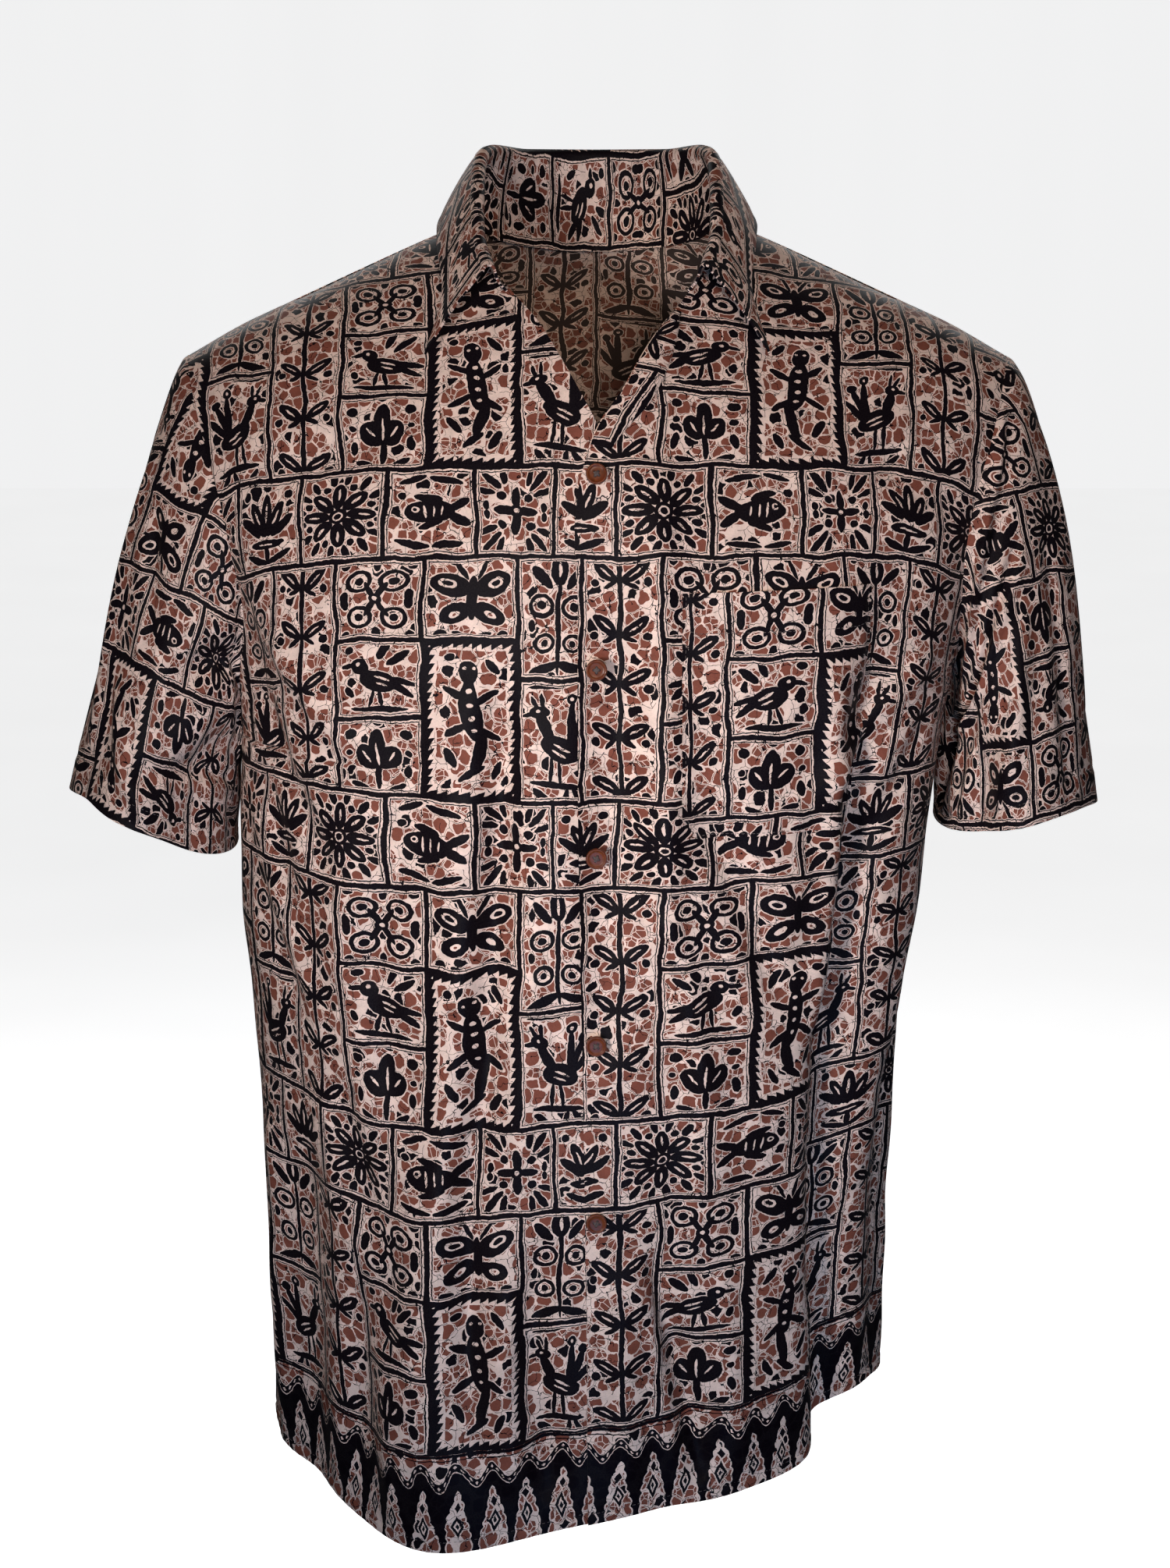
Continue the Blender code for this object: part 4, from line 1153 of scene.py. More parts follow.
@dataclass(frozen=True)
class BatikCotton:
    """Printed cotton: its three colours, and a slight gloss."""

    light: Colour = (0.655, 0.486, 0.411, 1.0)
    earth: Colour = (0.168, 0.052, 0.034, 1.0)
    dark: Colour = (0.0022, 0.0013, 0.003, 1.0)
    fading: float = 0.94
    roughness: float = 0.56
    specular: float = 0.035

    def faded(self, colour: Colour, share: float) -> Colour:
        """A colour brought nearer to the light one."""
        return tuple(share * mine + (1.0 - share) * pale for mine, pale in zip(colour, self.light))

    def build(self) -> Cloth:
        """Makes the face and the slightly paler reverse."""
        groups = PatchworkPrint().build(), Weave().build()
        return Cloth(self.material("face", groups, 1.0), self.material("reverse", groups, self.fading))

    def material(self, side: str, groups: tuple[NodeTree, ...], share: float) -> Material:
        """One side's material.

        Args:
            side: The last word of its name.
            groups: The print and the weave.
            share: How strong the print's brown and dark are.

        Returns:
            The material.
        """
        ink = Finish("batik_cotton_" + side)
        cut = {"Cut": ink.wire(ink.node("UVMap", {}, uv_map=CUT_MAP))}
        colours = {
            "Light": self.light,
            "Earth": self.faded(self.earth, share),
            "Dark": self.faded(self.dark, share),
        }
        printed = ink.node("Group", {}, node_tree=groups[0])
        woven = ink.node("Group", {}, node_tree=groups[1])
        ink.feed([printed.inputs[name] for name in (*cut, *colours)], (*cut.values(), *colours.values()))
        ink.feed([woven.inputs["Cut"]], cut.values())
        return ink.made(
            {
                "Base Color": ink.wire(printed, "Colour"),
                "Roughness": ink.wire(printed, "Ink").scaled(-0.1, self.roughness),
                "Normal": ink.relief(ink.wire(woven, "Height"), 0.35, 0.00025),
                "Specular IOR Level": self.specular,
            }
        )


@dataclass(frozen=True)
class Thread:
    """Dark sewing thread."""

    colour: Colour = (0.03, 0.017, 0.014, 1.0)
    pale: Colour = (0.072, 0.0408, 0.0336, 1.0)
    twist: float = 2600.0

    def build(self) -> Material:
        """Makes the material, with the thread's twist as fine fuzz.

        Returns:
            The material.
        """
        ink = Finish("thread")
        fuzz = ink.grain(self.twist, Detail=2.0)
        return ink.made(
            {
                "Base Color": ink.blend("RGBA", fuzz, self.colour, self.pale),
                "Normal": ink.relief(fuzz, 0.5, 0.0001),
                "Roughness": 0.6,
                "Sheen Weight": 0.3,
            }
        )


@dataclass(frozen=True)
class AmberButton:
    """Clouded amber resin, polished."""

    pale: Colour = (0.17, 0.04, 0.012, 1.0)
    deep: Colour = (0.04, 0.009, 0.004, 1.0)
    cloud: float = 240.0
    wear: float = 2160.0

    def build(self) -> Material:
        """Makes the material, with clouds of deeper colour and fine wear.

        Returns:
            The material.
        """
        ink = Finish("amber_resin")
        cloud = ink.grain(self.cloud, Detail=3.0, Distortion=1.2)
        return ink.made(
            {
                "Base Color": ink.blend("RGBA", cloud, self.deep, self.pale),
                "Roughness": ink.grain(self.wear).scaled(0.16, 0.24),
                "IOR": 1.54,
                "Specular IOR Level": 0.12,
                "Subsurface Weight": 0.35,
                "Subsurface Scale": 0.0016,
                "Subsurface Radius": (1.0, 0.35, 0.08),
                "Coat Weight": 0.04,
                "Coat Roughness": 0.08,
            }
        )


def flattened(points: Array, start: Array, pinned: int, rounds: int = 260) -> Array:
    """Lays a grid of points flat while it keeps its lengths.

    Args:
        points: The grid in space, rows first.
        start: A first guess of the flat grid, in metres.
        pinned: How many of the lowest rows stay as guessed.
        rounds: How often the lengths are eased.

    Returns:
        The flat grid.
    """
    flat = start.copy()
    rows, columns = flat.shape[:2]
    ties = []
    for down, right in ((0, 1), (1, 0), (1, 1), (1, -1)):
        first = (slice(0, rows - down), slice(max(0, -right), columns - max(0, right)))
        second = (slice(down, rows), slice(max(0, right), columns - max(0, -right)))
        ties.append((first, second, np.linalg.norm(points[second] - points[first], axis=-1)))
    for _ in range(rounds):
        move = np.zeros_like(flat)
        for first, second, rest in ties:
            apart = flat[second] - flat[first]
            length = np.linalg.norm(apart, axis=-1) + 1e-9
            shift = apart * ((length - rest) / length * 0.16)[..., None]
            move[first] += shift
            move[second] -= shift
        move[:pinned] = 0.0
        flat += move
    return flat


def run_lengths(points: Array, axis: int) -> Array:
    """Distances covered along a grid from its first row (axis 0) or column (axis 1)."""
    gone = np.cumsum(np.linalg.norm(np.diff(points, axis=axis), axis=-1), axis=axis)
    return np.insert(gone, 0, 0.0, axis=axis)


def finished(name: str, shape: BMesh, *materials: Material) -> Object:
    """Turns a bmesh into a smooth piece that rides on the shirt.

    Args:
        name: The piece's name.
        shape: Its mesh, which is freed.
        *materials: Its materials, in the order of its slots.

    Returns:
        The piece.
    """
    mesh = bpy.data.meshes.new(name)
    shape.to_mesh(mesh)
    shape.free()
    mesh.shade_smooth()
    for material in materials:
        mesh.materials.append(material)
    piece = bpy.data.objects.new(name, mesh)
    bpy.context.scene.collection.objects.link(piece)
    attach(piece, "root")
    return piece


def settle(piece: Object, sharp: float) -> None:
    """Applies a piece's modifiers and shades it smooth.

    Args:
        piece: The piece.
        sharp: Degrees from which an edge stays sharp.
    """
    graph = bpy.context.evaluated_depsgraph_get()
    mesh = bpy.data.meshes.new_from_object(piece.evaluated_get(graph))
    piece.modifiers.clear()
    piece.data = mesh
    mesh.shade_smooth()
    mesh.set_sharp_from_angle(angle=math.radians(sharp))


@dataclass(frozen=True)
class Panel:
    """A cut piece of cloth, as a thin shell in the place of the CAD node of the same name.

    Its grid runs across and up in shares from 0 to 1, its faces turned out.
    """

    name: str
    columns: int = 60
    rows: int = 60
    outer: float = 0.0
    inner: float = 0.0005
    held: str = "draped"
    rests_on: tuple[str, ...] = ()
    edge_angle: float = 58.0
    face_block: ClassVar[tuple[float, float]] = (0.4, 0.76)
    back_block: ClassVar[tuple[float, float]] = (0.9, 0.17)
    block_height: ClassVar[float] = 0.96
    rim_step: ClassVar[float] = 1.02

    def column_shares(self) -> Array:
        """Shares across, one for each line of the grid."""
        return np.linspace(0.0, 1.0, self.columns + 1)

    def row_shares(self) -> Array:
        """Shares up, one for each line of the grid."""
        return np.linspace(0.0, 1.0, self.rows + 1)

    def points(self, across: Array, up: Array, creased: bool = True) -> Array:
        """Points of the panel's base surface."""
        raise NotImplementedError

    def cut(self, across: Array, up: Array) -> Array:
        """Place of each point on the flat cloth, in metres."""
        raise NotImplementedError

    def build(self, cloth: Cloth) -> None:
        """Args:
            cloth: The materials of its face and its reverse.
        """
        across, up = np.meshgrid(self.column_shares(), self.row_shares())
        points, flat = self.points(across, up), self.cut(across, up)
        rows, columns = across.shape
        shape = bmesh.new()
        bmesh.ops.create_grid(shape, x_segments=columns - 1, y_segments=rows - 1, size=0.5)
        layer = shape.loops.layers.uv.new(CUT_MAP)
        for vertex in shape.verts:
            column = round((vertex.co.x + 0.5) * (columns - 1))
            row = round((vertex.co.y + 0.5) * (rows - 1))
            vertex.co = points[row, column]
            for loop in vertex.link_loops:
                loop[layer].uv = flat[row, column]
        bmesh.ops.remove_doubles(shape, verts=shape.verts, dist=2e-5)
        count = len(shape.verts)
        piece = finished(self.name + "_cloth", shape, cloth.face, cloth.reverse, cloth.face)
        wall = piece.modifiers.new("Wall", "SOLIDIFY")
        wall.thickness = self.outer + self.inner
        wall.offset = (self.outer - self.inner) / wall.thickness
        wall.use_even_offset = False
        wall.material_offset = Layer.REVERSE.value
        wall.material_offset_rim = Layer.EDGE.value
        settle(piece, self.edge_angle)
        self.lay_out(piece.data, count)
        self.declare(flat)

    def lay_out(self, mesh: Mesh, count: int) -> None:
        """Adds the map for baking: the face in a wide block, the reverse in a narrow one.

        Args:
            mesh: The shell.
            count: How many of its vertices came before the wall.
        """
        cut = np.empty(len(mesh.loops) * 2)
        mesh.uv_layers[CUT_MAP].data.foreach_get("uv", cut)
        cut = cut.reshape(-1, 2)
        corner = np.empty(len(mesh.loops), int)
        mesh.loops.foreach_get("vertex_index", corner)
        sides, totals = np.empty((2, len(mesh.polygons)), int)
        mesh.polygons.foreach_get("material_index", sides)
        mesh.polygons.foreach_get("loop_total", totals)
        slot = np.repeat(sides, totals)
        share = (cut - cut.min(axis=0)) / np.ptp(cut, axis=0) - 0.5
        late = corner >= count
        face_is_late = late[slot == Layer.FACE.value].mean() > 0.5
        turned = (slot == Layer.EDGE.value) & (late != face_is_late)
        share = share * np.where(turned, self.rim_step, 1.0)[:, None]
        back = slot == Layer.REVERSE.value
        spot = np.empty_like(share)
        (face, face_wide), (reverse, reverse_wide) = self.face_block, self.back_block
        spot[:, 0] = np.where(back, reverse + reverse_wide * share[:, 0], face + face_wide * share[:, 0])
        spot[:, 1] = 0.5 + self.block_height * share[:, 1]
        mesh.uv_layers.new(name=BAKE_MAP).data.foreach_set("uv", spot.ravel())
        mesh.uv_layers.active = mesh.uv_layers[CUT_MAP]

    def declare(self, flat: Array) -> None:
        """Hides the CAD node it stands for, and works out the area of its flat cut, which is not kept.

        Args:
            flat: Its grid laid flat.
        """
        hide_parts(self.name)
        one, other = flat[1:, 1:] - flat[:-1, :-1], flat[1:, :-1] - flat[:-1, 1:]
        area = float(np.abs(one[..., 0] * other[..., 1] - one[..., 1] * other[..., 0]).sum() / 2.0)


@dataclass(frozen=True)
class BodyPanel(Panel):
    """A front or the back, from hem to shoulder."""

    underarm_share: float = 0.56
    row_gather: float = 1.25
    hem_turn: float = 0.0062
    hem_rise: float = 0.0003
    stitch_depth: float = 0.00045
    pucker: float = 0.00035
    turn_edge: float = 0.002
    stitch_width: float = 0.0012
    pucker_width: float = 0.006
    drop: float = 0.438
    hem_lines: tuple[float, ...] = (0.0, 0.001, 0.0024, 0.004, 0.0052, 0.0062, 0.0072, 0.009, 0.012)
    low_start: float = 0.0155
    low_lines: int = 108
    high_lines: int = 84

    @property
    def stitch_share(self) -> float:
        """Share up of the hem's stitches."""
        return self.hem_turn / self.drop * self.underarm_share

    def row_shares(self) -> Array:
        """Shares up, closer together over the hem's stitches.

        Returns:
            The shares.
        """
        scale = self.underarm_share / self.drop
        low = np.linspace(self.low_start * scale, self.underarm_share, self.low_lines)
        high = np.linspace(self.underarm_share, 1.0, self.high_lines)
        return np.concatenate([np.array(self.hem_lines) * scale, low, high[1:]])

    def levels(self, up: Array) -> tuple[Array, Array, Array]:
        """Finds the level of a row.

        Args:
            up: Shares up.

        Returns:
            Shares above the hem and above the underarm, and the height at the armhole end.
        """
        low = np.clip(up / self.underarm_share, 0.0, 1.0)
        high = np.clip((up - self.underarm_share) / (1.0 - self.underarm_share), 0.0, 1.0)
        share = 1.0 - (1.0 - high) ** self.row_gather
        return low, share, FORM.arm_height(share)

    def hem_height(self, angle: Array) -> Array:
        """Height of the hem at an angle."""
        return HEM.read("z", (np.degrees(angle) + 180.0) % 360.0 - 180.0)

    def above_hem(self, angle: Array, low: Array) -> Array:
        """Height of a point below the underarm."""
        return self.hem_height(angle) * (1.0 - low) + FORM.underarm_z * low

    def hem_lift(self, angle: Array, z: Array) -> Array:
        """Lift of the turned hem, its stitch line and the puckers above it.

        Args:
            angle: Radians from centre front.
            z: Heights.

        Returns:
            Metres out.
        """
        above = z - self.hem_height(angle)
        along = angle * FORM.girth_radius
        turn = self.hem_rise * ease((self.hem_turn - above) / self.turn_edge)
        line = self.stitch_depth * ridge(above - self.hem_turn, self.stitch_width)
        wave = np.sin(along * 760.0 + 3.0 * np.sin(along * 61.0))
        return turn - line + self.pucker * wave * ridge(above - self.hem_turn, self.pucker_width)

    def stand_off(self, x: Array) -> Array:
        """Extra lift of the panel at a distance from centre front."""
        return np.zeros_like(x)

    def angles(self, across: Array, up: Array) -> tuple[Array, Array]:
        """Angle and height of each point."""
        raise NotImplementedError

    def first_column(self, bare: Array, run: Array) -> Array:
        """Flat place of the first column of each row."""
        raise NotImplementedError

    def points(self, across: Array, up: Array, creased: bool = True) -> Array:
        """Points of the panel's face.

        Args:
            across: Shares across.
            up: Shares up.
            creased: Whether creases are added.

        Returns:
            The points.
        """
        angle, z = self.angles(across, up)
        lift = FORM.wall + self.stand_off(FORM.bare(angle, z)[..., 0]) + self.hem_lift(angle, z)
        return FORM.point(angle, z, lift, creased)

    def cut(self, across: Array, up: Array) -> Array:
        """Flat places: along the hem from centre front or centre back, and up from the hem.

        Args:
            across: Shares across.
            up: Shares up.

        Returns:
            The flat places.
        """
        bare = FORM.bare(*self.angles(across, up))
        run = run_lengths(bare, 1)
        start = self.first_column(bare, run)
        low = self.levels(up)[0]
        rise = run_lengths(bare * (0.0, 1.0, 1.0), 0)
        corner = int(np.searchsorted(self.row_shares(), self.underarm_share))
        high = self.drop + rise - rise[corner]
        guess = np.stack([start + run, np.where(low < 1.0, self.drop * low, high)], axis=-1)
        return flattened(bare, guess, corner)


@dataclass(frozen=True)
class FrontPanel(BodyPanel):
    """One front, from its free edge to its side seam."""

    columns: int = 108
    side: Side = Side.LEFT
    lap_lift: float = 0.002
    lap_flat: float = 0.018
    lap_fade: float = 0.05
    print_step: float = 0.0085
    edge_lines: tuple[float, ...] = (0.0, 0.004, 0.01, 0.018)
    first_share: float = 0.03

    def column_shares(self) -> Array:
        """Shares across, closer together at the free edge."""
        shares = np.concatenate([self.edge_lines, np.linspace(self.first_share, 1.0, self.columns)])
        return shares if self.side is Side.LEFT else 1.0 - shares[::-1]

    def from_edge(self, across: Array) -> Array:
        """Shares from the free edge to the side seam."""
        return across if self.side is Side.LEFT else 1.0 - across

    def stand_off(self, x: Array) -> Array:
        """How far the upper front stands off where it laps the lower one."""
        lapped = ease((self.lap_fade - x) / (self.lap_fade - self.lap_flat))
        return self.lap_lift * lapped * (self.side is Side.LEFT)

    def angles(self, across: Array, up: Array) -> tuple[Array, Array]:
        """Finds the place of each point on the form.

        Args:
            across: Shares across.
            up: Shares up.

        Returns:
            Angles in radians from centre front, and heights.
        """
        side, name = self.side.value, self.side.name.lower()
        low, share, arm_z = self.levels(up)
        edge_x = side * NECKLINE.read(name + "_x", share)
        edge_z = NECKLINE.read(name + "_z", share)
        widest = FORM.half_width(side, arm_z)
        arm_x = side * np.where(share > 0.0, ARMHOLE.read("front", arm_z), widest)
        start = FORM.angle_at(edge_x, arm_z)
        spread = start + (FORM.angle_at(arm_x, arm_z) - start) * self.from_edge(across)
        x = FORM.distance_at(spread, arm_z)
        z = edge_z + (arm_z - edge_z) * (x - edge_x) / (arm_x - edge_x)
        z = z + FORM.shoulder_bend(x) * share**3
        below = up < self.underarm_share
        z = np.where(below, self.above_hem(spread, low), z)
        return np.where(below, spread, FORM.angle_at(x, z)), z

    def first_column(self, bare: Array, run: Array) -> Array:
        """Flat place of the first column, so that the free edge is at its distance from the middle."""
        left = self.side is Side.LEFT
        return bare[:, :1, 0] + self.print_step if left else bare[:, -1:, 0] - run[:, -1:]


@dataclass(frozen=True)
class BackPanel(BodyPanel):
    """The back, from the wearer's left side seam to the right one."""

    columns: int = 150

    def angles(self, across: Array, up: Array) -> tuple[Array, Array]:
        """Finds the place of each point on the form.

        Args:
            across: Shares across.
            up: Shares up.

        Returns:
            Angles in radians from centre front, and heights.
        """
        low, share, arm_z = self.levels(up)
        shift = 1.0 - 2.0 * across
        widest = FORM.half_width(shift, arm_z)
        arm_x = np.where(share > 0.0, ARMHOLE.read("back", arm_z), widest)
        spread = math.pi - shift * FORM.angle_at(arm_x, arm_z)
        end = FORM.angle_at(FORM.shoulder_half, FORM.shoulder_end)
        top_x = FORM.distance_at(shift * end, FORM.shoulder_end)
        outside = np.abs(top_x) > FORM.neck_half
        top_z = np.where(outside, FORM.shoulder_height(top_x), FORM.back_neck_height(top_x))
        below = up < self.underarm_share
        above_z = FORM.underarm_z + (top_z - FORM.underarm_z) * share
        z = np.where(below, self.above_hem(spread, low), above_z)
        at_arm = FORM.distance_at(spread, arm_z)
        return np.where(below, spread, math.pi - FORM.angle_at(at_arm, z)), z

    def first_column(self, bare: Array, run: Array) -> Array:
        """Flat place of the first column, so that centre back is at 0."""
        return -run[:, run.shape[1] // 2][:, None]


@dataclass(frozen=True)
class SleevePanel(Panel):
    """A short sleeve, a tube from the armhole to its open cuff."""

    side: Side = Side.LEFT
    columns: int = 132
    length: float = 0.26
    armhole_gather: float = 1.2
    cuff_half_depth: float = 0.072
    cuff_centre_y: float = -0.004
    cuff_twist: float = 0.007
    cuff_pull: float = 0.23
    cuff_swing: float = 0.05
    cap_out_under: float = 0.25
    cap_aside_under: float = 0.42
    cap_aside_top: float = 0.126
    cap_level: float = 0.56
    girth: float = 0.44
    hem_turn: float = 0.021
    hem_rise: float = 0.0002
    stitch_depth: float = 0.0005
    turn_edge: float = 0.003
    stitch_width: float = 0.0018
    hem_pucker: float = 0.0004
    pucker_width: float = 0.01
    tuck: float = 0.0014
    tuck_width: float = 0.003
    cap_pucker: float = 0.0008
    cap_pucker_width: float = 0.011
    seam_depth: float = 0.0007
    seam_width: float = 0.0035
    crease_fade: float = 0.006
    sleeve_lines: int = 60
    line_margins: tuple[float, float] = (0.028, 0.012)
    print_v: float = 1.3
    cuff_lines: tuple[float, ...] = (
        0.0, 0.001, 0.003, 0.006, 0.01, 0.014, 0.0175, 0.0196, 0.021, 0.0224, 0.0245,
    )
    cap_lines: tuple[float, ...] = (0.009, 0.0065, 0.004, 0.0025, 0.001, 0.0)

    @property
    def edge(self) -> dict[str, float]:
        """The sizes of this side's cuff."""
        return next(iter(CUFFS.of(self.side).named()))

    @property
    def stitch_share(self) -> float:
        """Share up of the cuff's stitches."""
        return self.hem_turn / self.length

    def row_shares(self) -> Array:
        """Shares up from the cuff, closer together over its stitches and at the armhole.

        Returns:
            The shares.
        """
        cuff = np.array(self.cuff_lines) / self.length
        low, high = self.line_margins
        sleeve = np.linspace(low / self.length, 1.0 - high / self.length, self.sleeve_lines)
        return np.concatenate([cuff, sleeve, 1.0 - np.array(self.cap_lines) / self.length])

    def turns(self, across: Array) -> Array:
        """Turns round the tube: 0 underarm, over the front, 0.5 shoulder, to the back."""
        return across if self.side is Side.LEFT else 1.0 - across

    def around(self, turn: Array) -> tuple[Array, Array]:
        """How far a turn is out from the body, and how far forward, from -1 to 1."""
        return -np.cos(turn * math.tau), np.sin(turn * math.tau)

    def armhole(self, turn: Array, creased: bool) -> Array:
        """The edge that the sleeve starts from.

        Args:
            turn: Turns round the tube.
            creased: Whether the body's creases are followed.

        Returns:
            Its points.
        """
        side = self.side.value
        front = turn <= 0.5
        share = np.sin(np.pi * np.where(front, turn, 1.0 - turn)) ** self.armhole_gather
        z = FORM.arm_height(share)
        seam_x = np.where(front, ARMHOLE.read("front", z), ARMHOLE.read("back", z))
        seam_x = np.where(share > 1e-6, seam_x, FORM.half_width(side, z))
        opening = FORM.angle_at(side * seam_x, z)
        return FORM.point(np.where(front, opening, math.pi - opening), z, FORM.wall, creased)

    def cuff(self, turn: Array) -> Array:
        """The open end of the sleeve.

        Args:
            turn: Turns round the tube.

        Returns:
            Its points.
        """
        edge = self.edge
        outward, forward = self.around(turn)
        middle_z = (edge["outer_z"] + edge["inner_z"]) / 2.0
        z = middle_z + (edge["outer_z"] - edge["inner_z"]) / 2.0 * outward
        z = z + (np.where(forward > 0.0, edge["front_z"], edge["back_z"]) - middle_z) * forward**2
        z = z + self.cuff_twist * outward * np.clip(forward, 0.0, 1.0)
        x = self.side.value * (edge["middle_x"] + edge["half_width"] * outward)
        return np.stack([x, self.cuff_centre_y - self.cuff_half_depth * forward, z], axis=-1)

    def folds(self, turn: Array, down: Array) -> Array:
        """How far the large folds push out.

        Args:
            turn: Turns round the tube.
            down: Shares down from the armhole.

        Returns:
            Metres out.
        """
        total = np.zeros(np.broadcast(turn, down).shape)
        for row in SLEEVE_FOLDS.of(self.side).named():
            reach = ease((down - row["start"]) / (row["full"] - row["start"]))
            middle = row["angle"] + row["lean"] * (down - row["full"])
            total += row["depth"] * reach * bump(turn * 360.0 - middle, row["width"])
        return total

    def creases(self, turn: Array, down: Array) -> Array:
        """Rise of the cloth over its creases, its cuff stitches and its eased cap.

        Args:
            turn: Turns round the tube.
            down: Shares down from the armhole.

        Returns:
            Metres out.
        """
        s, t = turn * self.girth, down * self.length
        mine, scale = SLEEVE_CREASES.of(self.side), (self.girth, self.length)
        total = sum(
            crease_rise(mine, ("turn", "down"), scale, (s - whole, t))
            for whole in (-self.girth, 0.0, self.girth)
        )
        waves = math.tau * turn
        total += FORM.ripple * np.sin(5.0 * waves + 30.0 * t) * np.sin(26.0 * t + 2.0 * np.sin(waves))
        above = self.length - t
        total += self.hem_rise * ease((self.hem_turn - above) / self.turn_edge)
        total -= self.stitch_depth * ridge(above - self.hem_turn, self.stitch_width)
        wave = np.sin(57.0 * waves + 3.0 * np.sin(4.0 * waves))
        total += self.hem_pucker * wave * ridge(above - self.hem_turn, self.pucker_width)
        gathers = np.sin(math.pi * turn) ** 2 * np.sin(31.0 * waves + 4.0 * np.sin(3.0 * waves))
        return total + self.cap_pucker * gathers * ridge(t - self.pucker_width, self.cap_pucker_width)

    def points(self, across: Array, up: Array, creased: bool = True) -> Array:
        """Points of the sleeve's face.

        Args:
            across: Shares round the tube.
            up: Shares up from the cuff.
            creased: Whether creases are added.

        Returns:
            The points.
        """
        side, edge = self.side.value, self.edge
        turn, down = self.turns(across), 1.0 - up
        gone = down * self.length
        start, end = self.armhole(turn, creased), self.cuff(turn)
        outward, forward = self.around(turn)
        top = (1.0 + outward) / 2.0
        out = side * (self.cap_out_under + (1.0 - self.cap_out_under) * top)
        aside = forward * (self.cap_aside_top * top - self.cap_aside_under)
        leave = unit(np.stack([out, aside, self.cap_level * top - 1.0], axis=-1))
        flare = side * edge["flare"] * outward * top
        arrive = np.stack([flare, -self.cuff_swing * forward, -np.ones_like(top)], axis=-1)
        reach = np.linalg.norm(end - start, axis=-1, keepdims=True) / self.length
        leave, arrive = leave * edge["cap"] * reach, arrive * self.cuff_pull * reach
        made = curve(start, leave, end, arrive, down[..., None])
        push = self.folds(turn, down) - self.seam_depth * ridge(gone, self.seam_width)
        if creased:
            push = push + self.creases(turn, down) * ease(gone / self.crease_fade)
        made[..., 0] += side * (outward * push - self.tuck * ridge(gone, self.tuck_width))
        made[..., 1] -= forward * push
        return made

    def cut(self, across: Array, up: Array) -> Array:
        """Flat places: round from the top line, and down the cloth from the cuff.

        Args:
            across: Shares round the tube.
            up: Shares up from the cuff.

        Returns:
            The flat places.
        """
        bare = self.points(across, up, False)
        round_it = np.broadcast_to(run_lengths(bare, 1).mean(axis=0), across.shape)
        middle = round_it[:, round_it.shape[1] // 2][:, None]
        return np.stack([middle - round_it, self.print_v - run_lengths(bare, 0)], axis=-1)


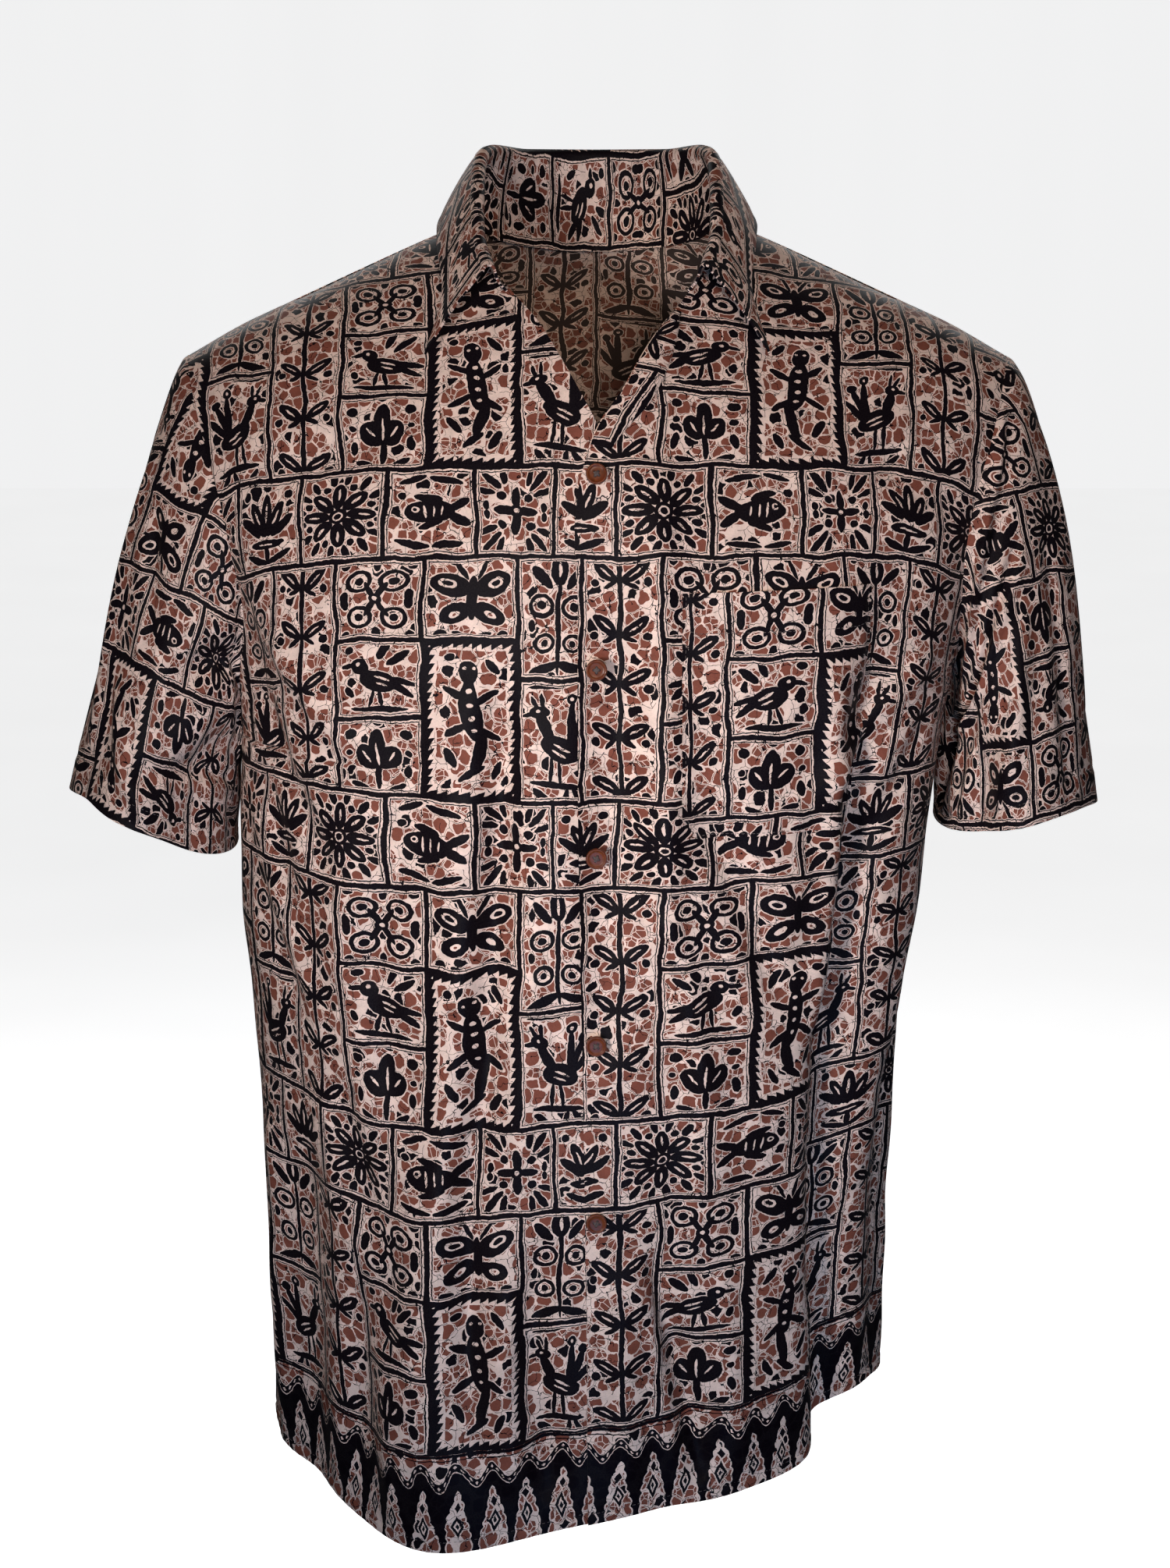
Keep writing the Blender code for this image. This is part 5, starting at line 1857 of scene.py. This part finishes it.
@dataclass(frozen=True)
class CollarPanel(Panel):
    """The camp collar: its stand inside the neck, its roll, and its fall to two points."""

    columns: int = 150
    outer: float = 0.0012
    inner: float = 0.0002
    side_share: float = 0.45
    end_share: float = 0.9
    seam_lift: float = 0.0019
    back_raise: float = 0.0008
    tuck_run: float = 0.1
    tuck_lift: float = -0.0004
    tuck_depth: float = 0.004
    tuck_over: float = 0.002
    edge_stand: float = 0.0046
    roll_radius: float = 0.003
    stand_swell: float = 0.0015
    fall_swell: float = 0.002
    stand_lines: int = 8
    roll_lines: int = 6
    fall_lines: int = 16
    wave: float = 0.0007
    pressed: float = 0.00025
    print_place: tuple[float, float] = (-0.343, 2.12)

    def row_shares(self) -> Array:
        """Shares over, one for each line of the stand, the roll and the fall."""
        return np.linspace(0.0, 1.0, self.stand_lines + self.roll_lines + self.fall_lines + 1)

    def seam(self, along: Array) -> Array:
        """The seam over the neck edge.

        Args:
            along: Shares from centre back (0) to the front end (1).

        Returns:
            Its points.
        """
        behind = along < self.side_share
        back_x = FORM.neck_half * np.clip(along / self.side_share, 0.0, 1.0)
        gone = np.clip((along - self.side_share) / (1.0 - self.side_share), 0.0, 1.0)
        share = 1.0 - (1.0 - self.end_share) * gone
        x = np.where(behind, back_x, NECKLINE.read("left_x", share))
        z = np.where(behind, FORM.back_neck_height(back_x), NECKLINE.read("left_z", share))
        angle = FORM.angle_at(x, z)
        tuck = ease((self.side_share - 0.02 - along) / self.tuck_run)
        lift = self.seam_lift + (self.tuck_lift - self.seam_lift) * tuck
        seam = FORM.point(np.where(behind, math.pi - angle, angle), z, lift, False)
        over = self.back_raise + self.tuck_over * 4.0 * tuck * (1.0 - tuck)
        seam[..., 2] += behind * (over * (1.0 - tuck) - self.tuck_depth * tuck)
        return seam

    def points(self, across: Array, up: Array, creased: bool = True) -> Array:
        """Points of the collar.

        Args:
            across: Shares from the wearer's right end to the left one.
            up: Shares from the seam over the roll to the edge.
            creased: Whether the fall is uneven.

        Returns:
            The points.
        """
        along = np.abs(across - 0.5) * 2.0
        seam = self.seam(along)
        roll, edge = (
            np.stack([COLLAR.read(line + axis, along) for axis in "xyz"], axis=-1)
            for line in ("roll_", "edge_")
        )
        aside = unit((edge - roll) * (1.0, 1.0, 0.0))
        sink = np.array([0.0, 0.0, self.roll_radius])
        inner = roll - sink
        outer = inner + aside * 2.0 * self.roll_radius
        counts = (self.stand_lines, self.roll_lines, self.fall_lines)
        line, shares = np.rint(up * sum(counts)), []
        for count in counts:
            shares.append(np.clip(line / count, 0.0, 1.0)[..., None])
            line = line - count
        in_stand, in_roll, in_fall = shares
        swell = aside * self.stand_swell * np.sin(math.pi * in_stand)
        stand = seam + (inner - seam) * in_stand + swell
        half = math.pi * in_roll
        over = inner + aside * self.roll_radius * (1.0 - np.cos(half)) + sink * np.sin(half)
        fall = outer + (edge - outer) * in_fall
        fall = fall + aside * self.fall_swell * np.sin(math.pi * in_fall) ** 0.6
        fall[..., 1] -= self.edge_stand * in_fall[..., 0] ** 2 * ease((along - 0.5) / 0.25)
        if creased:
            fall = fall + aside * self.unevenness(across, in_fall[..., 0])[..., None]
        made = np.where(in_fall > 0.0, fall, np.where(in_roll > 0.0, over, stand))
        made[..., 0] *= np.where(across >= 0.5, 1.0, -1.0)
        return made

    def unevenness(self, across: Array, down: Array) -> Array:
        """Faint waves of the fall towards its edge, and the line pressed along it."""
        wave = np.sin(23.0 * across + 1.0) * np.sin(4.0 * down + 9.0 * across) * down
        return self.wave * wave + self.pressed * (ridge(1.0 - down, 0.09) - ridge(0.86 - down, 0.05))

    def cut(self, across: Array, up: Array) -> Array:
        """Flat places: over the collar from its seam, and along it.

        Args:
            across: Shares along the collar.
            up: Shares from the seam to the edge.

        Returns:
            The flat places.
        """
        bare = self.points(across, up, False)
        along = run_lengths(bare, 1)[self.stand_lines + self.roll_lines + self.fall_lines // 2]
        along = np.broadcast_to(along, across.shape)
        return np.stack([run_lengths(bare, 0), along], axis=-1) + self.print_place


@dataclass(frozen=True)
class FacingPanel(Panel):
    """The facing that rolls out over the wearer's left front edge."""

    columns: int = 64
    rows: int = 12
    foot: float = 0.592
    top: float = 0.865
    width: float = 0.016
    setback: float = 0.0006
    lift: float = 0.0026
    swell: float = 0.0018
    lean: float = 0.33
    foot_turn: float = 0.12
    least: float = 0.25
    print_v: float = 2.3
    neighbour: FrontPanel = FrontPanel("front_left")

    def points(self, across: Array, up: Array, creased: bool = True) -> Array:
        """Points of the facing.

        Args:
            across: Shares from its top to its foot.
            up: Shares from the roll to its edge.
            creased: Whether creases are added.

        Returns:
            The points.
        """
        along = 1.0 - across
        share = self.foot + (self.top - self.foot) * along
        turn = self.foot_turn + (1.0 - self.foot_turn) * along
        swell = np.sqrt(np.clip(np.sin(turn * math.pi), self.least**2, 1.0))
        reach = self.setback + self.width * swell * up
        x = NECKLINE.read("left_x", share) + reach
        z = NECKLINE.read("left_z", share) - reach * self.lean
        lift = self.lift + self.swell * np.sqrt(np.abs(np.sin(up * math.pi)))
        return FORM.point(FORM.angle_at(x, z), z, lift + self.neighbour.stand_off(x), creased)

    def cut(self, across: Array, up: Array) -> Array:
        """Flat places: along the facing, and out from its roll.

        Args:
            across: Shares from its top to its foot.
            up: Shares from the roll to its edge.

        Returns:
            The flat places.
        """
        bare = self.points(across, up, False)
        along = np.broadcast_to(run_lengths(bare, 1)[self.rows // 2], across.shape)
        return np.stack([along, self.print_v + run_lengths(bare, 0)], axis=-1)


@dataclass(frozen=True)
class PocketPanel(Panel):
    """The patch pocket on the wearer's left front."""

    columns: int = 56
    rows: int = 72
    width: float = 0.106
    height: float = 0.136
    left: float = 0.046
    top: float = -0.173
    corner: float = 0.012
    corner_share: float = 0.1
    edge_lift: float = 0.0018
    body_lift: float = 0.0008
    gape: float = 0.0022
    gape_share: float = 0.4
    calm_share: float = 0.05
    seam_width: float = 0.0012
    seam_inset: float = 0.0018
    top_hem: float = 0.022
    unevenness: float = 0.0003
    print_place: tuple[float, float] = (0.4, 0.92)

    def points(self, across: Array, up: Array, creased: bool = True) -> Array:
        """Points of the pocket's face.

        Args:
            across: Shares across.
            up: Shares up from its foot.
            creased: Whether creases are added.

        Returns:
            The points.
        """
        x = self.left + self.width * across
        from_side = np.minimum(across, 1.0 - across)
        corner = self.corner * (1.0 - ease(from_side / self.corner_share))
        z = self.top - (self.height - corner) * (1.0 - up)
        inside = ease(from_side / self.calm_share) * ease(up / self.calm_share)
        open_part = ease(1.0 - (1.0 - up) / self.gape_share) * np.sin(across * math.pi)
        wave = np.sin(31.0 * across + 17.0 * up) * np.sin(23.0 * up) * inside
        line = ridge(from_side * self.width - self.seam_inset, self.seam_width)
        lift = self.edge_lift + self.body_lift * inside + self.gape * open_part
        return FORM.point(FORM.angle_at(x, z), z, lift + self.unevenness * (wave - line), creased)

    def cut(self, across: Array, up: Array) -> Array:
        """Flat places: across, and up from the pocket's foot.

        Args:
            across: Shares across.
            up: Shares up from its foot.

        Returns:
            The flat places.
        """
        bare = self.points(across, up, False)
        along = np.broadcast_to(run_lengths(bare, 1)[self.rows // 2], across.shape)
        rise = run_lengths(bare, 0)
        return np.stack([along, rise - rise[-1:]], axis=-1) + self.print_place


@dataclass(frozen=True)
class Seat:
    """A point on the cloth with the directions of the thread and of the cloth's face."""

    place: Vector
    thread: Vector
    face: Vector

    def matrix(self) -> Matrix:
        """Turns X along the thread and Z out of the cloth.

        Returns:
            The turn and the move.
        """
        side = self.face.cross(self.thread).normalized()
        thread = side.cross(self.face).normalized()
        turn = Matrix((thread, side, self.face)).transposed().to_4x4()
        return Matrix.Translation(self.place) @ turn


def sampled(at: Array, gone: Array, values: Array) -> Array:
    """Values read off along a line, at distances from its start."""
    return np.stack([np.interp(at, gone, column) for column in values.T], axis=-1)


def seats_on(panel: Panel, across: Array, up: Array, spacing: float) -> list[Seat]:
    """Seats spaced along a line on a panel's face.

    Args:
        panel: The panel.
        across: The line's shares across.
        up: The line's shares up.
        spacing: Metres from one seat to the next.

    Returns:
        The seats.
    """
    line = panel.points(across[None, :], up[None, :])[0]
    aside = panel.points(across[None, :], up[None, :] + SHARE_STEP)[0] - line
    gone = run_lengths(line[None], 1)[0]
    marks = np.arange(spacing, gone[-1] - spacing, spacing)
    seats = []
    for place, following, beside in zip(
        sampled(marks, gone, line), sampled(marks + LINE_STEP, gone, line), sampled(marks, gone, aside)
    ):
        thread = Vector(following - place).normalized()
        face = thread.cross(Vector(beside)).normalized()
        seats.append(Seat(Vector(place) + face * panel.outer, thread, face))
    return seats


@dataclass(frozen=True)
class Stitching:
    """A run of short stitches of thread, lying in the cloth."""

    name: str
    seats: list[Seat]
    length: float = 0.0023
    radius: float = 0.00024
    sink: float = 0.00004

    def build(self, thread: Material) -> None:
        """Makes the stitches as one piece.

        Args:
            thread: Their material.
        """
        shape = bmesh.new()
        stretch = Matrix.Diagonal((self.length / 2.0, self.radius, self.radius, 1.0))
        for seat in self.seats:
            place = seat.matrix() @ Matrix.Translation((0.0, 0.0, -self.sink))
            bmesh.ops.create_icosphere(shape, subdivisions=1, radius=1.0, matrix=place @ stretch)
        piece = finished(self.name, shape, thread)
        LOG.info("%s: %d stitches", self.name, len(self.seats))


@dataclass(frozen=True)
class Sewing:
    """The stitching of the hems, the cuffs and the pocket."""

    thread: Material
    hem_spacing: float = 0.0031
    pocket_spacing: float = 0.0029
    samples: int = 400

    def turn_up(self, panel: BodyPanel | SleevePanel, word: str) -> None:
        """Stitches a turned edge.

        Args:
            panel: The body panel or the sleeve.
            word: What its edge is called.
        """
        line = np.linspace(0.0, 1.0, self.samples)
        seats = seats_on(panel, line, np.full_like(line, panel.stitch_share), self.hem_spacing)
        Stitching(f"{panel.name}_{word}_stitches", seats).build(self.thread)

    def hold(self, pocket: PocketPanel) -> None:
        """Stitches the pocket down one side, along its foot, up the other side and over its hem.

        Args:
            pocket: The pocket.
        """
        line = np.linspace(0.0, 1.0, self.samples)
        level = np.ones_like(line)
        inset, rise = pocket.seam_inset / pocket.width, pocket.seam_inset / pocket.height
        along = inset + (1.0 - 2.0 * inset) * line
        runs = (
            (inset * level, 1.0 + (rise - 1.0) * line),
            (along, rise * level),
            ((1.0 - inset) * level, rise + (1.0 - rise) * line),
            (along, (1.0 - pocket.top_hem / pocket.height) * level),
        )
        seats = [seat for run in runs for seat in seats_on(pocket, *run, self.pocket_spacing)]
        Stitching("pocket_stitches", seats).build(self.thread)


@dataclass(frozen=True)
class Button:
    """A round four-hole button, sewn to the lap with crossed thread."""

    number: int
    height: float
    sink: float
    turn: float
    radius: float = 0.0058
    thick: float = 0.0024
    edge: float = 0.0007
    rim: float = 0.0011
    slope: float = 0.0008
    dish: float = 0.0006
    pin: float = 0.0004
    hole_radius: float = 0.00085
    hole_spread: float = 0.0014
    x: float = -0.0005
    shank: float = 0.001
    thread_radius: float = 0.00034
    strands: int = 6
    edge_angle: float = 42.0

    def seat(self, lap: FrontPanel) -> Matrix:
        """Place of the button, facing along the cloth's normal.

        Args:
            lap: The front that it is sewn to.

        Returns:
            The turn and the move.
        """
        angle = FORM.angle_at(self.x, self.height)
        lift = lap.stand_off(self.x) + FORM.wall + self.shank - self.sink
        base = Vector(FORM.point(angle, self.height, lift, False))
        above = Vector(FORM.point(angle, self.height, lift + self.radius, False))
        face = (above - base).to_track_quat("Z", "Y").to_matrix().to_4x4()
        return Matrix.Translation(base) @ face @ Matrix.Rotation(math.radians(self.turn), 4, "Z")

    def profile(self) -> list[tuple[float, float]]:
        """The outline that is turned, from the middle of the face out and under.

        Returns:
            Radius and height of each corner.
        """
        lip = self.radius - self.rim
        low = self.thick - self.dish
        return [
            (self.hole_spread + self.hole_radius * 1.6, low),
            (lip - self.slope, low),
            (lip - self.slope * 0.4, low + self.dish * 0.35),
            (lip, self.thick - 0.0001),
            (self.radius - self.edge * 0.8, self.thick),
            (self.radius - self.edge * 0.3, self.thick - self.edge * 0.25),
            (self.radius, self.thick - self.edge),
            (self.radius, self.edge * 1.1),
            (self.radius - self.edge * 0.4, self.edge * 0.3),
            (self.radius - self.edge * 1.2, 0.0),
            (self.pin, 0.0),
        ]

    def body(self) -> BMesh:
        """The button's shape: a turned blank whose middle is a plate.

        Returns:
            The closed blank.
        """
        shape = bmesh.new()
        corners = [shape.verts.new((radius, 0.0, height)) for radius, height in self.profile()]
        edges = [shape.edges.new(pair) for pair in zip(corners, corners[1:])]
        turned = {"axis": (0.0, 0.0, 1.0), "cent": (0.0, 0.0, 0.0), "angle": math.tau}
        bmesh.ops.spin(shape, geom=corners + edges, steps=40, use_merge=True, **turned)
        bmesh.ops.holes_fill(shape, edges=[edge for edge in shape.edges if edge.is_boundary], sides=0)
        bmesh.ops.recalc_face_normals(shape, faces=shape.faces)
        return shape

    def pegs(self, shape: BMesh, segments: int, radius: float, depth: float, z: float) -> None:
        """Adds a round peg in the place of each of the four holes.

        Args:
            shape: Where they go.
            segments: Sides of a peg.
            radius: Its radius.
            depth: Its length.
            z: Height of its middle.
        """
        for quarter in range(4):
            turn = math.radians(45.0 + 90.0 * quarter)
            spot = Vector((math.cos(turn) * self.hole_spread, math.sin(turn) * self.hole_spread, z))
            round_it = {"radius1": radius, "radius2": radius, "matrix": Matrix.Translation(spot)}
            bmesh.ops.create_cone(shape, cap_ends=True, segments=segments, depth=depth, **round_it)

    def sewn(self) -> BMesh:
        """Crossed strands of thread over the middle of the face and down through the holes.

        Returns:
            The thread's shape.
        """
        shape = bmesh.new()
        top = self.thick - self.dish
        round_it = self.thread_radius
        spread = Matrix.Diagonal((self.hole_spread * 1.12, round_it, round_it, 1.0))
        for strand in range(self.strands):
            turn = Matrix.Rotation(math.radians(45.0 if strand % 2 else 135.0), 4, "Z")
            aside = (strand // 2 - 1) * round_it * 1.5
            rise = round_it * (1.2 if strand % 2 else 0.5)
            place = turn @ Matrix.Translation((0.0, aside, top + rise)) @ spread
            bmesh.ops.create_icosphere(shape, subdivisions=2, radius=1.0, matrix=place)
        below = 0.0012
        self.pegs(shape, 8, round_it * 1.7, top + below, (top + round_it * 0.6 - below) / 2.0)
        return shape

    def build(self, lap: FrontPanel, amber: Material, thread: Material) -> None:
        """Makes the button and its thread.

        Args:
            lap: The front that it is sewn to.
            amber: The button's material.
            thread: The thread's material.
        """
        blank, cutter, strands = self.body(), bmesh.new(), self.sewn()
        self.pegs(cutter, 14, self.hole_radius, self.thick * 4.0, 0.0)
        for shape in (blank, cutter, strands):
            shape.transform(self.seat(lap))
        piece = finished(f"button_{self.number}_amber", blank, amber)
        tool = finished(f"button_{self.number}_cutter", cutter, amber)
        cut = piece.modifiers.new("Holes", "BOOLEAN")
        cut.operation = "DIFFERENCE"
        cut.solver = "EXACT"
        cut.object = tool
        settle(piece, self.edge_angle)
        bpy.data.objects.remove(tool, do_unlink=True)
        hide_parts(f"button_{self.number}")
        sewn = finished(f"button_{self.number}_thread", strands, thread)
        LOG.info("%s: %d faces", piece.name, len(piece.data.polygons))


BUTTONS = Table(("z", "sink", "turn"), (
    (-0.11, 0.0006, 8), (-0.214, 0.0001, 42), (-0.318, 0, 20), (-0.425, 0, 3), (-0.529, 0, 31),
))


@dataclass(frozen=True)
class Lamp:
    """A soft rectangular light that looks at a point."""

    name: str
    place: Point
    size: float
    power: float
    colour: Point = (1.0, 1.0, 1.0)
    aim: Point = (0.0, 0.0, -0.34)
    spread: float = 180.0
    tall: float = 1.0

    def build(self) -> None:
        """Adds the light."""
        light = bpy.data.lights.new(self.name, "AREA")
        light.shape = "RECTANGLE"
        light.size, light.size_y = self.size, self.size * self.tall
        light.energy = self.power
        light.color = self.colour
        light.spread = math.radians(self.spread)
        lamp = bpy.data.objects.new(self.name, light)
        lamp.location = self.place
        away = Vector(self.place) - Vector(self.aim)
        lamp.rotation_euler = away.to_track_quat("Z", "Y").to_euler()
        bpy.context.scene.collection.objects.link(lamp)


@dataclass(frozen=True)
class Studio:
    """Camera, pale floor, pale surroundings and soft lights."""

    camera_place: Point = (-0.0068, -2.0, 0.15)
    camera_pitch: float = 77.0
    lens: float = 79.6
    floor_z: float = -1.42
    floor_half: float = 15.0
    floor_pale: Colour = (0.9, 0.9, 0.9, 1.0)
    floor_dull: Colour = (0.873, 0.873, 0.873, 1.0)
    floor_cloud: float = 1.0 / 3.0
    sky: Colour = (0.9, 0.94, 1.0, 1.0)
    sky_strength: float = 0.05
    glow: float = 0.92
    wall_y: float = 9.0
    lamps: tuple[Lamp, ...] = (
        Lamp("key", (-0.56, -1.36, -0.17), 0.2, 1.04, (1.0, 0.97, 0.96), (0.1, 0.0, -0.3), 42.0, 1.25),
        Lamp("high", (0.3, -2.8, 0.6), 0.6, 6.4, (1.0, 0.83, 0.69), (0.0, 0.0, 0.08), 80.0),
        Lamp("low", (0.2, -2.0, -0.9), 0.8, 4.3, (0.14, 0.5, 1.0), (0.0, 0.0, -0.66), 100.0),
        Lamp("back_left", (0.9, 2.2, 1.0), 1.2, 24.0),
        Lamp("back_right", (-0.9, 2.2, 1.0), 1.2, 24.0),
    )

    def build(self) -> None:
        """Sets up the view."""
        data = bpy.data.cameras.new("camera")
        data.lens = self.lens
        data.sensor_width = 36.0
        data.sensor_fit = "AUTO"
        data.clip_end = 100.0
        camera = bpy.data.objects.new("camera", data)
        camera.location = self.camera_place
        camera.rotation_euler = (math.radians(self.camera_pitch), 0.0, 0.0)
        bpy.context.scene.collection.objects.link(camera)
        bpy.context.scene.camera = camera
        bpy.context.scene.view_settings.view_transform = "Standard"
        self.build_floor()
        self.build_sky()
        for lamp in self.lamps:
            lamp.build()

    def build_floor(self) -> None:
        """Adds the floor, which turns up into a wall far behind."""
        shape = bmesh.new()
        bmesh.ops.create_grid(shape, x_segments=1, y_segments=1, size=self.floor_half)
        middle = (0.0, self.wall_y - self.floor_half, self.floor_z)
        bmesh.ops.translate(shape, verts=shape.verts, vec=middle)
        end = [edge for edge in shape.edges if all(vertex.co.y > self.wall_y - 0.1 for vertex in edge.verts)]
        raised = bmesh.ops.extrude_edge_only(shape, edges=end)["geom"]
        risen = [part for part in raised if isinstance(part, BMVert)]
        bmesh.ops.translate(shape, verts=risen, vec=(0.0, 0.0, self.floor_half))
        mesh = bpy.data.meshes.new("floor")
        shape.to_mesh(mesh)
        shape.free()
        floor = bpy.data.objects.new("floor", mesh)
        mesh.materials.append(self.floor_material())
        bpy.context.scene.collection.objects.link(floor)
        floor.visible_diffuse = False
        floor.visible_glossy = False

    def floor_material(self) -> Material:
        """A pale matt floor with a faint unevenness.

        Returns:
            The material.
        """
        ink = Finish("studio_floor")
        spot = ink.wire(ink.node("TexCoord", {}), "Object")
        tone = ink.wire(ink.noise(spot, self.floor_cloud))
        colour = ink.blend("RGBA", tone, self.floor_pale, self.floor_dull)
        glowing = {"Emission Color": colour, "Emission Strength": self.glow}
        return ink.made({"Base Color": colour, "Roughness": 0.9, **glowing})

    def build_sky(self) -> None:
        """Sets an even pale surround."""
        world = bpy.data.worlds.new("studio")
        world.use_nodes = True
        background = world.node_tree.nodes["Background"]
        background.inputs["Color"].default_value = self.sky
        background.inputs["Strength"].default_value = self.sky_strength
        bpy.context.scene.world = world


def main() -> None:
    """Builds the shirt in its studio, and logs the count of each run of stitches and each button's faces."""
    logging.basicConfig(level=logging.INFO, format="%(message)s")
    Studio().build()
    cloth = BatikCotton().build()
    thread = Thread().build()
    amber = AmberButton().build()
    under = ("back_cloth",)
    back = BackPanel("back")
    front_left = FrontPanel("front_left", rests_on=under)
    front_right = FrontPanel("front_right", rests_on=under, side=Side.RIGHT)
    sleeves = (
        SleevePanel("sleeve_left", rests_on=("front_left_cloth", *under)),
        SleevePanel("sleeve_right", rests_on=("front_right_cloth", *under), side=Side.RIGHT, print_v=1.62),
    )
    collar = CollarPanel("collar", rests_on=("front_left_cloth", "front_right_cloth", *under))
    facing = FacingPanel("front_facing", rests_on=("front_left_cloth",))
    pocket = PocketPanel("pocket", rests_on=("front_left_cloth",))
    for panel in (back, front_left, front_right, *sleeves, collar, facing, pocket):
        panel.build(cloth)
    for number, row in enumerate(BUTTONS.named(), start=1):
        Button(number, row["z"], row["sink"], row["turn"]).build(front_left, amber, thread)
    sewing = Sewing(thread)
    for panel in (back, front_left, front_right):
        sewing.turn_up(panel, "hem")
    for sleeve in sleeves:
        sewing.turn_up(sleeve, "cuff")
    sewing.hold(pocket)


if __name__ == "__main__":
    main()
